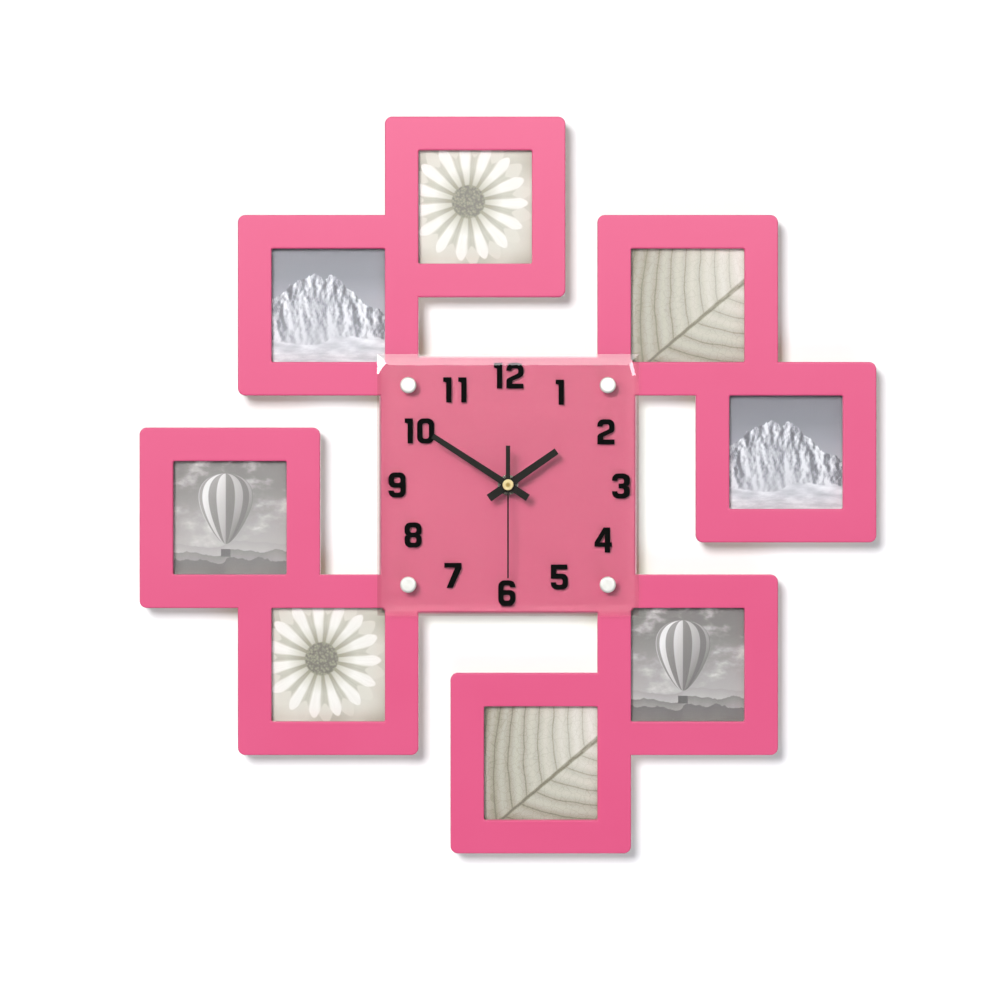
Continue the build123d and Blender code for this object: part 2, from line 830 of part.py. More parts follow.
with BuildPart() as centre_wheel:
    with BuildSketch(at(centre_layer)):
        Circle(minute_tube_radius)
    extrude(amount=minute_tip - centre_layer)
    with BuildSketch(at(centre_layer)):
        GearOutline(centre_teeth, third_module, centre_phase)
    extrude(amount=wheel_thickness)
    with BuildSketch(at(centre_layer + wheel_thickness)):
        GearOutline(cannon_teeth, cannon_module, minute_angle)
    extrude(amount=minute_layer - centre_layer + pinion_margin)
    with BuildSketch(at(centre_layer)):
        Circle(second_shaft_radius + running)
    extrude(amount=minute_tip - centre_layer, mode=Mode.SUBTRACT)
centre_wheel.part.label = "centre_wheel"
export_step(centre_wheel.part, "parts/centre_wheel.step")

with BuildPart() as minute_wheel:
    with BuildSketch(at(minute_layer)):
        with Locations(minute_axis):
            GearOutline(minute_teeth, cannon_module, minute_phase)
    extrude(amount=wheel_thickness)
    with BuildSketch(at(minute_layer + wheel_thickness)):
        with Locations(minute_axis):
            GearOutline(minute_pinion_teeth, hour_module, minute_angle + 180)
    extrude(amount=hour_layer - minute_layer)
    with BuildSketch(at(minute_layer)):
        with Locations(minute_axis):
            Circle(post_radius + running)
    extrude(amount=hour_layer + wheel_thickness - minute_layer, mode=Mode.SUBTRACT)
minute_wheel.part.label = "minute_wheel"
export_step(minute_wheel.part, "parts/minute_wheel.step")

with BuildPart() as hour_wheel:
    with BuildSketch(at(hour_layer)):
        Circle(hour_tube_radius)
    extrude(amount=hour_tip - hour_layer)
    with BuildSketch(at(hour_layer)):
        GearOutline(hour_teeth, hour_module, hour_phase)
    extrude(amount=wheel_thickness)
    with BuildSketch(at(hour_layer)):
        Circle(minute_tube_radius + running)
    extrude(amount=hour_tip - hour_layer, mode=Mode.SUBTRACT)
hour_wheel.part.label = "hour_wheel"
export_step(hour_wheel.part, "parts/hour_wheel.step")

# Setting knob with its shaft and pinion
with BuildPart() as setting_knob:
    with BuildSketch(at(knob_recess)):
        with Locations(knob_axis):
            Circle(knob_radius)
            with PolarLocations(knob_radius, knob_notches):
                Circle(knob_notch_radius, mode=Mode.SUBTRACT)
    extrude(amount=knob_height)
    with BuildSketch(at(knob_recess)):
        with Locations(knob_axis):
            Circle(knob_shaft_radius)
    extrude(amount=hour_layer + wheel_thickness - knob_recess)
    with BuildSketch(at(minute_layer)):
        with Locations(knob_axis):
            GearOutline(knob_teeth, knob_module, knob_phase)
    extrude(amount=wheel_thickness)
setting_knob.part.label = "setting_knob"
export_step(setting_knob.part, "parts/setting_knob.step")

# Hands: flat tapered blades with an eye, pressed on their shafts by a short collet
with BuildPart() as hour_hand:
    with BuildSketch(hand_plane(hour_tip - hand_thickness, hour_angle)):
        with BuildLine():
            Polyline(
                (-hour_width / 2, -hour_tail),
                (hour_width / 2, -hour_tail),
                (hour_tip_width / 2, hour_length),
                (-hour_tip_width / 2, hour_length),
                close=True,
            )
        make_face()
        Circle(hour_eye)
    extrude(amount=hand_thickness)
    with BuildSketch(at(hour_tip - collet_length)):
        Circle(hour_tube_radius + collet_wall)
    extrude(amount=collet_length)
    with BuildSketch(at(hour_tip - collet_length)):
        Circle(hour_tube_radius)
    extrude(amount=collet_length, mode=Mode.SUBTRACT)
hour_hand.part.label = "hour_hand"
export_step(hour_hand.part, "parts/hour_hand.step")

with BuildPart() as minute_hand:
    with BuildSketch(hand_plane(minute_tip - hand_thickness, minute_hand_angle)):
        with BuildLine():
            Polyline(
                (-minute_width / 2, -minute_tail),
                (minute_width / 2, -minute_tail),
                (minute_tip_width / 2, minute_length),
                (-minute_tip_width / 2, minute_length),
                close=True,
            )
        make_face()
        Circle(minute_eye)
    extrude(amount=hand_thickness)
    with BuildSketch(at(minute_tip - collet_length)):
        Circle(minute_tube_radius + collet_wall)
    extrude(amount=collet_length)
    with BuildSketch(at(minute_tip - collet_length)):
        Circle(minute_tube_radius)
    extrude(amount=collet_length, mode=Mode.SUBTRACT)
minute_hand.part.label = "minute_hand"
export_step(minute_hand.part, "parts/minute_hand.step")

with BuildPart() as second_hand:
    with BuildSketch(hand_plane(second_blade, second_angle)):
        with Locations((0, second_length / 2)):
            Rectangle(second_width, second_length)
        with Locations((0, -second_tail / 2)):
            Rectangle(second_tail_width, second_tail)
        Circle(second_eye)
        Circle(boss_tube_radius, mode=Mode.SUBTRACT)
    extrude(amount=second_thickness)
second_hand.part.label = "second_hand"
export_step(second_hand.part, "parts/second_hand.step")

# Turned boss that carries the second hand on its shaft
with BuildPart() as second_hand_boss:
    with BuildSketch(at(second_back)):
        Circle(boss_tube_radius)
    extrude(amount=collet_length)
    with BuildSketch(at(second_back + collet_length)):
        Circle(boss_disc_radius)
    extrude(amount=boss_disc_height)
    fillet(second_hand_boss.faces().sort_by(Axis.Y)[0].edges(), boss_softening)
    with BuildSketch(at(boss_front)):
        Circle(dimple_radius)
    extrude(amount=-dimple_depth, mode=Mode.SUBTRACT)
    with BuildSketch(at(second_back)):
        Circle(second_shaft_radius)
    extrude(amount=second_shaft_end - second_back, mode=Mode.SUBTRACT)
second_hand_boss.part.label = "second_hand_boss"
export_step(second_hand_boss.part, "parts/second_hand_boss.step")
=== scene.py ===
"""Dresses the photo frame clock: finishes, printed numerals, pictures, wall, lamps and camera."""

import logging
import math
from dataclasses import dataclass, field
from enum import Enum

import bmesh
import bpy
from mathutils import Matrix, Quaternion, Vector


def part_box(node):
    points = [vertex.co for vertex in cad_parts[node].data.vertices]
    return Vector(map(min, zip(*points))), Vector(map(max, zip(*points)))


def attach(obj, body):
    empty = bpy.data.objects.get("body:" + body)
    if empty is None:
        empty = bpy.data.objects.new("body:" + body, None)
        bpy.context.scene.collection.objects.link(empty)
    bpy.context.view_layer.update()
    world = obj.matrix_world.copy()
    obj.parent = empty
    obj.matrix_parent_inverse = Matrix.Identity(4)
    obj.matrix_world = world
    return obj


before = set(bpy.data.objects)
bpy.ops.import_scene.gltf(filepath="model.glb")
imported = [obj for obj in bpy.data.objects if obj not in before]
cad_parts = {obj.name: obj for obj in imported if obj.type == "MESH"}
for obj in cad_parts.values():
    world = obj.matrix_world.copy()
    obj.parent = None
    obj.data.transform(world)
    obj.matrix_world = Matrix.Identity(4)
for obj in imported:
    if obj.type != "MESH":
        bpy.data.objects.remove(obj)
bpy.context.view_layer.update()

log = logging.getLogger("photo_frame_clock")

MM = 0.001

Point = tuple[float, float]
Triple = tuple[float, float, float]
Corner = Triple
Tree = bpy.types.NodeTree
Socket = bpy.types.NodeSocket


class Place(Enum):
    """The eight photo frames, named for where they stand round the dial."""

    TOP = "top"
    UPPER_RIGHT = "upper_right"
    RIGHT = "right"
    LOWER_RIGHT = "lower_right"
    BOTTOM = "bottom"
    LOWER_LEFT = "lower_left"
    LEFT = "left"
    UPPER_LEFT = "upper_left"


class LampUse(Enum):
    """What a lamp is there for."""

    LIGHT = "lights surfaces"
    GLOSS = "shows in gloss"
    BOTH = "does both"


def linear(colour: str) -> tuple[float, float, float, float]:
    """Turns an sRGB hex colour to linear light.

    Args:
        colour: the colour as "#rrggbb".
    Returns:
        Red, green, blue and an alpha of one.
    """
    parts = [int(colour[i:i + 2], 16) / 255 for i in (1, 3, 5)]
    light = [c / 12.92 if c <= 0.04045 else ((c + 0.055) / 1.055) ** 2.4 for c in parts]
    return (*light, 1.0)


def per_mm(size: float) -> float:
    """Gives the texture scale whose features are about that many millimetres across."""
    return 1.0 / (size * MM)


def add(
    tree: Tree,
    kind: str,
    feeds: dict[str | int, object] | None = None,
    out: str | int = 0,
    stops: list[tuple[float, str]] | None = None,
    **settings: object,
) -> Socket:
    """Adds one shader node with its settings and links.

    A Mix node's inputs share their names, so they go by number: 0 is the share, 2 and 3 are values,
    6 and 7 are colours, and its colour comes out at 2.

    Args:
        tree: the material's node tree.
        kind: the node's type, without the ShaderNode at its start.
        feeds: for each input, the socket that is linked to it or the value that is set.
        out: the output that is wanted.
        stops: the places and colours of a colour ramp.
        settings: the node's own options.
    Returns:
        The wanted output socket.
    """
    node = tree.nodes.new("ShaderNode" + kind)
    for key, value in settings.items():
        setattr(node, key, value)
    for key, value in (feeds or {}).items():
        if isinstance(value, bpy.types.NodeSocket):
            tree.links.new(value, node.inputs[key])
        else:
            node.inputs[key].default_value = value
    if stops:
        ramp = node.color_ramp.elements
        while len(ramp) < len(stops):
            ramp.new(1.0)
        for element, (position, colour) in zip(ramp, stops):
            element.position = position
            element.color = linear(colour)
    return node.outputs[out]


def join(tree: Tree, source: Socket, shader: bpy.types.Node, name: str) -> None:
    """Links a socket to one of the shader's inputs."""
    tree.links.new(source, shader.inputs[name])


@dataclass(frozen=True)
class Finish:
    """A surface finish, with the values that every finish shares. Pattern sizes are in millimetres."""

    name: str
    colour: str = "#808080"
    roughness: float = 0.5
    metallic: float = 0.0
    specular: float = 0.5

    def material(self) -> bpy.types.Material:
        """Makes the material.

        Returns:
            The material, with its nodes laid.
        """
        material = bpy.data.materials.new(self.name)
        material.use_nodes = True
        tree = material.node_tree
        shader = tree.nodes["Principled BSDF"]
        shader.inputs["Base Color"].default_value = linear(self.colour)
        shader.inputs["Roughness"].default_value = self.roughness
        shader.inputs["Metallic"].default_value = self.metallic
        shader.inputs["Specular IOR Level"].default_value = self.specular
        self.lay(tree, shader)
        return material

    def lay(self, tree: Tree, shader: bpy.types.Node) -> None:
        """Lays the nodes that give this finish its look."""
        raise NotImplementedError

    def texture(self, tree: Tree, shader: bpy.types.Node, pattern: Socket, swing: Point, strength: float,
                depth: float) -> None:
        """Lets one pattern show both in the sheen and as relief.

        Args:
            tree: the material's node tree.
            shader: its shader.
            pattern: the pattern, from nought to one.
            swing: how far the roughness falls below the finish's own and rises above it.
            strength: how strongly the relief shows.
            depth: how deep the relief is.
        """
        join(tree, add(tree, "MapRange", {"Value": pattern, "To Min": self.roughness - swing[0],
                                          "To Max": self.roughness + swing[1]}), shader, "Roughness")
        join(tree, add(tree, "Bump", {"Height": pattern, "Strength": strength, "Distance": depth * MM}),
             shader, "Normal")


@dataclass(frozen=True)
class SprayedLacquer(Finish):
    """Satin lacquer sprayed on routed fibreboard, whose back is left raw.

    The eye sees an even pink with a soft sheen and a faint orange peel, and plain brown
    felted fibre on the faces that turn to the wall.
    """

    tint: str = "#ffffff"
    fibre_dark: str = "#8a6a48"
    fibre_pale: str = "#b4946c"
    peel: float = 2.2
    cloud: float = 60.0
    fibre: float = 0.7

    def lay(self, tree: Tree, shader: bpy.types.Node) -> None:
        """Lays the lacquer, the raw back and the orange peel.

        Args:
            tree: the material's node tree.
            shader: its shader.
        """
        where = add(tree, "TexCoord", out="Object")
        cloud = add(tree, "TexNoise", {"Vector": where, "Scale": per_mm(self.cloud), "Detail": 3.0})
        film = add(tree, "Mix", {0: cloud, 6: linear(self.colour), 7: linear(self.tint)}, 2,
                   data_type="RGBA")
        felt = add(tree, "TexNoise", {"Vector": where, "Scale": per_mm(self.fibre), "Detail": 6.0,
                                      "Roughness": 0.7})
        raw = add(tree, "ValToRGB", {0: felt}, stops=[(0.3, self.fibre_dark), (0.7, self.fibre_pale)])
        normal = add(tree, "NewGeometry", out="True Normal")
        facing = add(tree, "SeparateXYZ", {0: normal}, "Y")
        bare = add(tree, "MapRange", {"Value": facing, "From Min": 0.8, "From Max": 0.9})
        join(tree, add(tree, "Mix", {0: bare, 6: film, 7: raw}, 2, data_type="RGBA"), shader, "Base Color")
        satin = add(tree, "MapRange", {"Value": cloud, "To Min": self.roughness - 0.03,
                                       "To Max": self.roughness + 0.05})
        join(tree, add(tree, "Mix", {0: bare, 2: satin, 3: 0.9}), shader, "Roughness")
        peel = add(tree, "TexNoise", {"Vector": where, "Scale": per_mm(self.peel), "Detail": 2.0})
        height = add(tree, "Mix", {0: bare, 2: peel, 3: felt})
        join(tree, add(tree, "Bump", {"Height": height, "Strength": 0.12, "Distance": 0.1 * MM}),
             shader, "Normal")


@dataclass(frozen=True)
class ClearSheet(Finish):
    """A polished clear sheet, float glass or cast acrylic, that lets lamp light through.

    The eye sees what lies behind it, a thin veil of reflected room, and bright bevels. A thick
    sheet has a darker rim, painted shade in its colour for the light lost at its edge. Half is the
    half width of a sheet with a rim, and the core is the share of the rim that has its full painted
    shade. Light that takes more turns than those given is trapped, and passes straight on.
    """

    ior: float = 1.5
    wave: float = 45.0
    wave_height: float = 0.01
    half: float = 0.0
    rim: float = 0.0
    rim_core: float = 0.6
    # painted shade: the colour that darkens the rim of a thick sheet
    rim_colour: str = "#efe2e4"
    turns: float = 5.0

    def lay(self, tree: Tree, shader: bpy.types.Node) -> None:
        """Lays the clear body, its faint wave, and the clear path for shadow rays and trapped light.

        Args:
            tree: the material's node tree.
            shader: its shader.
        """
        shader.inputs["Transmission Weight"].default_value = 1.0
        shader.inputs["IOR"].default_value = self.ior
        where = add(tree, "TexCoord", out="Object")
        wave = add(tree, "TexNoise", {"Vector": where, "Scale": per_mm(self.wave), "Detail": 0.0})
        join(tree, add(tree, "Bump", {"Height": wave, "Strength": 0.1, "Distance": self.wave_height * MM}),
             shader, "Normal")
        if self.rim > 0.0:
            self.shade_rim(tree, shader, where)
        shadow = add(tree, "LightPath", out="Is Shadow Ray")
        lit = add(tree, "Math", {0: shadow, 1: shadow.node.outputs["Is Diffuse Ray"]}, operation="MAXIMUM")
        trapped = add(tree, "Math", {0: shadow.node.outputs["Ray Depth"], 1: self.turns},
                      operation="GREATER_THAN")
        lit = add(tree, "Math", {0: lit, 1: trapped}, operation="MAXIMUM")
        clear = add(tree, "BsdfTransparent", {"Color": linear(self.colour)})
        both = add(tree, "MixShader", {0: lit, 1: shader.outputs[0], 2: clear})
        tree.links.new(both, tree.nodes["Material Output"].inputs["Surface"])

    def shade_rim(self, tree: Tree, shader: bpy.types.Node, where: Socket) -> None:
        """Lays the painted shade that darkens the rim of a square sheet.

        Args:
            tree: the material's node tree.
            shader: the sheet's shader.
            where: the place on the sheet, from its middle.
        """
        away = add(tree, "VectorMath", {0: where}, operation="ABSOLUTE")
        x = add(tree, "SeparateXYZ", {0: away})
        far = add(tree, "Math", {0: x, 1: x.node.outputs["Z"]}, operation="MAXIMUM")
        edge = add(tree, "MapRange", {"Value": far, "From Min": (self.half - self.rim) * MM,
                                      "From Max": (self.half - self.rim_core * self.rim) * MM})
        # painted shade: the glass colour darkens towards the sheet's edge
        join(tree, add(tree, "Mix", {0: edge, 6: linear(self.colour), 7: linear(self.rim_colour)}, 2,
                       data_type="RGBA"), shader, "Base Color")


@dataclass(frozen=True)
class PhotoPaper(Finish):
    """A monochrome picture printed on pearl photo paper, seen behind its pane.

    The eye sees the picture's tones, lightly toned, with the paper's soft sheen. The picture is
    drawn in units of half its sight width.
    """

    centre: Point = (0.0, 0.0)
    half: float = 38.5
    pearl: float = 0.5
    tones: tuple[tuple[float, str], ...] = ()

    def spot(self, tree: Tree, shift: Point = (0.0, 0.0), turn: float = 0.0) -> Socket:
        """Gives the place in the picture, one unit from the middle to an edge.

        Args:
            tree: the material's node tree.
            shift: where the motif's own middle lies in the picture.
            turn: how far the motif is turned, in degrees.
        Returns:
            A vector whose X goes across and whose Z goes up, with Y at nought.
        """
        angle = math.radians(turn)
        scale = per_mm(self.half)
        across = self.centre[0] * scale * MM + shift[0]
        up = self.centre[1] * scale * MM + shift[1]
        offset = (-(across * math.cos(angle) + up * math.sin(angle)), 0.0,
                  across * math.sin(angle) - up * math.cos(angle))
        where = add(tree, "TexCoord", out="Object")
        return add(tree, "Mapping", {"Vector": where, "Location": offset, "Rotation": (0.0, angle, 0.0),
                                     "Scale": (scale, 0.0, scale)})

    def inside(self, tree: Tree, past: Socket, soft: float) -> Socket:
        """Gives one inside a shape and nought outside it.

        Args:
            tree: the material's node tree.
            past: how far a place lies past the shape's edge, less than nought inside.
            soft: how soft the edge is.
        Returns:
            The share of the shape at that place.
        """
        return add(tree, "MapRange", {"Value": past, "From Min": -soft, "From Max": soft, "To Min": 1.0,
                                      "To Max": 0.0}, interpolation_type="SMOOTHSTEP")

    def relief(self, tree: Tree, at: Socket, scale: float, step: Triple) -> Socket:
        """Gives a rough surface as light from one side shows it.

        Args:
            tree: the material's node tree.
            at: the place on the surface.
            scale: how fine the roughness is.
            step: the way to the light, as long as the shading is soft.
        Returns:
            A value above nought on slopes that face the light and below it on the others.
        """
        aside = add(tree, "VectorMath", {0: at, 1: step}, operation="ADD")
        here, there = (add(tree, "TexNoise", {"Vector": spot, "Scale": scale, "Detail": 8.0,
                                              "Roughness": 0.6}) for spot in (at, aside))
        return add(tree, "Math", {0: here, 1: there}, operation="SUBTRACT")

    def picture(self, tree: Tree) -> Socket:
        """Draws the motif and gives its tone, from nought for dark to one for light."""
        raise NotImplementedError

    def lay(self, tree: Tree, shader: bpy.types.Node) -> None:
        """Lays the toned picture and the paper's fine pearl grain.

        Args:
            tree: the material's node tree.
            shader: its shader.
        """
        toned = add(tree, "ValToRGB", {0: self.picture(tree)}, stops=list(self.tones))
        join(tree, toned, shader, "Base Color")
        where = add(tree, "TexCoord", out="Object")
        pearl = add(tree, "TexNoise", {"Vector": where, "Scale": per_mm(self.pearl), "Detail": 1.0})
        join(tree, add(tree, "MapRange", {"Value": pearl, "To Min": self.roughness,
                                          "To Max": self.roughness + 0.15}), shader, "Roughness")


@dataclass(frozen=True)
class DaisyPicture(PhotoPaper):
    """A daisy close up, pale petals round a dark eye on a soft light ground.

    The tips of a row of petals have a mean reach and a swing about it.
    """

    middle: Point = (-0.12, 0.1)
    petals: int = 15
    petal_tips: Point = (0.92, 0.13)
    back_tips: Point = (1.02, -0.12)
    eye: float = 0.29
    edge: float = 0.02

    def picture(self, tree: Tree) -> Socket:
        """Draws two rows of petals, the eye and the blurred ground.

        Args:
            tree: the material's node tree.
        Returns:
            The picture's tone, from nought for dark to one for light.
        """
        at = self.spot(tree, self.middle)
        x = add(tree, "SeparateXYZ", {0: at})
        z = x.node.outputs["Z"]
        reach = add(tree, "VectorMath", {0: at}, "Value", operation="LENGTH")
        angle = add(tree, "Math", {0: z, 1: x}, operation="ARCTAN2")
        drift = add(tree, "TexNoise", {"Vector": at, "Scale": 2.2, "Detail": 1.0})
        phase = add(tree, "Math", {0: angle, 1: float(self.petals), 2: drift}, operation="MULTIPLY_ADD")
        lobe = add(tree, "Math", {0: phase}, operation="COSINE")
        rows = []
        for length, scallop in (self.petal_tips, self.back_tips):
            tip = add(tree, "Math", {0: lobe, 1: scallop, 2: length}, operation="MULTIPLY_ADD")
            past = add(tree, "Math", {0: reach, 1: tip}, operation="SUBTRACT")
            rows.append(self.inside(tree, past, self.edge))
        front, back = rows
        fan = add(tree, "CombineXYZ", {0: phase, 1: reach})
        streak = add(tree, "TexNoise", {"Vector": fan, "Scale": 2.0, "Detail": 3.0})
        crease = add(tree, "MapRange", {"Value": lobe, "From Min": -0.7, "From Max": 0.3, "To Min": 0.62,
                                        "To Max": 0.98}, interpolation_type="SMOOTHSTEP")
        petal = add(tree, "Math", {0: streak, 1: -0.22, 2: crease}, operation="MULTIPLY_ADD")
        throat = add(tree, "MapRange", {"Value": reach, "From Min": 0.26, "From Max": 0.62, "To Min": 0.55,
                                        "To Max": 1.08})
        petal = add(tree, "Math", {0: petal, 1: throat}, operation="MULTIPLY")
        blur = add(tree, "TexNoise", {"Vector": at, "Scale": 1.1, "Detail": 1.0})
        ground = add(tree, "MapRange", {"Value": blur, "From Min": 0.3, "From Max": 0.7, "To Min": 0.46,
                                        "To Max": 0.74})
        ground = add(tree, "Mix", {0: back, 2: ground, 3: 0.7})
        flower = add(tree, "Mix", {0: front, 2: ground, 3: petal})
        seeds = add(tree, "TexVoronoi", {"Vector": at, "Scale": 22.0})
        eye = add(tree, "MapRange", {"Value": seeds, "From Max": 0.7, "To Min": 0.42, "To Max": 0.06})
        outside = add(tree, "Math", {0: reach, 1: self.eye}, operation="SUBTRACT")
        return add(tree, "Mix", {0: self.inside(tree, outside, self.edge), 2: flower, 3: eye})


@dataclass(frozen=True)
class PeaksPicture(PhotoPaper):
    """Snow peaks in raking light under a clear sky, with a snowfield in front.

    The ridge falls to both sides of its summit and is jagged; the snowfield drifts up and down.
    """

    summit: Point = (-0.22, 0.3)
    fall: float = 0.75
    jag: float = 0.75
    snowfield: float = -0.86
    drift: float = 0.5

    def picture(self, tree: Tree) -> Socket:
        """Draws the sky, the ridge with its rock and snow, and the field.

        Args:
            tree: the material's node tree.
        Returns:
            The picture's tone, from nought for dark to one for light.
        """
        at = self.spot(tree)
        x = add(tree, "SeparateXYZ", {0: at})
        z = x.node.outputs["Z"]
        crag = add(tree, "TexNoise", {"W": x, "Scale": 1.7, "Detail": 7.0, "Roughness": 0.55},
                   noise_dimensions="1D")
        aside = add(tree, "Math", {0: x, 1: self.summit[0]}, operation="SUBTRACT")
        aside = add(tree, "Math", {0: aside}, operation="ABSOLUTE")
        tent = add(tree, "Math", {0: aside, 1: -self.fall, 2: self.summit[1]}, operation="MULTIPLY_ADD")
        ridge = add(tree, "Math", {0: crag, 1: self.jag, 2: tent}, operation="MULTIPLY_ADD")
        above = add(tree, "Math", {0: z, 1: ridge}, operation="SUBTRACT")
        sky = add(tree, "MapRange", {"Value": z, "From Min": -0.3, "From Max": 1.0, "To Min": 0.6,
                                     "To Max": 0.28})
        slant = add(tree, "Mapping", {"Vector": at, "Rotation": (0.0, 0.45, 0.0),
                                      "Scale": (2.0, 1.0, 1.0)})
        rock = self.relief(tree, slant, 1.9, (0.1, 0.0, -0.03))
        slope = add(tree, "MapRange", {"Value": rock, "From Min": -0.1, "From Max": 0.07, "To Min": 0.12,
                                       "To Max": 0.95})
        haze = add(tree, "MapRange", {"Value": above, "From Min": -1.1, "From Max": -0.2, "To Min": 0.7,
                                      "To Max": 0.0})
        slope = add(tree, "Mix", {0: haze, 2: slope, 3: 0.76})
        view = add(tree, "Mix", {0: self.inside(tree, above, 0.012), 2: sky, 3: slope})
        swell = add(tree, "TexNoise", {"W": x, "Scale": 0.9, "Detail": 3.0}, noise_dimensions="1D")
        swell = add(tree, "Math", {0: swell, 1: self.drift, 2: self.snowfield}, operation="MULTIPLY_ADD")
        below = add(tree, "Math", {0: z, 1: swell}, operation="SUBTRACT")
        flat = add(tree, "Mapping", {"Vector": at, "Rotation": (0.0, -0.3, 0.0), "Scale": (0.7, 1.0, 2.6)})
        snow = self.relief(tree, flat, 1.2, (0.1, 0.0, 0.12))
        snow = add(tree, "Math", {0: snow, 1: 1.3, 2: 0.8}, operation="MULTIPLY_ADD")
        return add(tree, "Mix", {0: self.inside(tree, below, 0.02), 2: view, 3: snow})


@dataclass(frozen=True)
class LeafPicture(PhotoPaper):
    """Part of a leaf close up with the light behind it, so that every vein shows.

    The side veins stand at a pitch, and each net of fine veins has its fineness and its tone.
    """

    middle: Point = (0.2, -0.25)
    turn: float = 40.0
    pitch: float = 0.17
    vein: float = 0.028
    rib: float = 0.03
    nets: tuple[Point, ...] = ((7.0, -0.14), (19.0, -0.12))

    def picture(self, tree: Tree) -> Socket:
        """Draws the blade's uneven light, the midrib, the side veins and the fine net.

        Args:
            tree: the material's node tree.
        Returns:
            The picture's tone, from nought for dark to one for light.
        """
        at = self.spot(tree, self.middle, self.turn)
        drift = add(tree, "TexNoise", {"Vector": at, "Scale": 2.0, "Detail": 1.0})
        x = add(tree, "SeparateXYZ", {0: at})
        z = x.node.outputs["Z"]
        side = add(tree, "Math", {0: z}, operation="ABSOLUTE")
        far = add(tree, "Math", {0: z, 1: 0.0}, operation="GREATER_THAN")
        lean = add(tree, "Math", {0: side, 1: 0.22, 2: 0.55}, operation="MULTIPLY_ADD")
        lean = add(tree, "Math", {0: lean, 1: side}, operation="MULTIPLY")
        run = add(tree, "Math", {0: x, 1: lean}, operation="SUBTRACT")
        run = add(tree, "Math", {0: far, 1: self.pitch, 2: run}, operation="MULTIPLY_ADD")
        run = add(tree, "Math", {0: drift, 1: 0.12, 2: run}, operation="MULTIPLY_ADD")
        gap = add(tree, "Math", {0: run, 1: self.pitch}, operation="PINGPONG")
        vein = self.inside(tree, gap, self.vein)
        rib = add(tree, "Math", {0: x, 1: 0.012, 2: self.rib}, operation="MULTIPLY_ADD")
        rib = add(tree, "Math", {0: side, 1: rib}, operation="SUBTRACT")
        vein = add(tree, "Math", {0: vein, 1: self.inside(tree, rib, 0.018)}, operation="MAXIMUM")
        light = add(tree, "MapRange", {"Value": run, "From Min": -1.6, "From Max": 1.2, "To Min": 0.44,
                                       "To Max": 0.84})
        swell = add(tree, "MapRange", {"Value": gap, "From Max": self.pitch, "To Min": -0.07,
                                       "To Max": 0.05}, interpolation_type="SMOOTHSTEP")
        tone = add(tree, "Math", {0: light, 1: swell}, operation="ADD")
        for fine, depth in self.nets:
            net = add(tree, "TexVoronoi", {"Vector": at, "Scale": fine}, feature="DISTANCE_TO_EDGE")
            thread = self.inside(tree, net, 0.07)
            tone = add(tree, "Math", {0: thread, 1: depth, 2: tone}, operation="MULTIPLY_ADD")
        return add(tree, "Math", {0: vein, 1: -0.36, 2: tone}, operation="MULTIPLY_ADD")


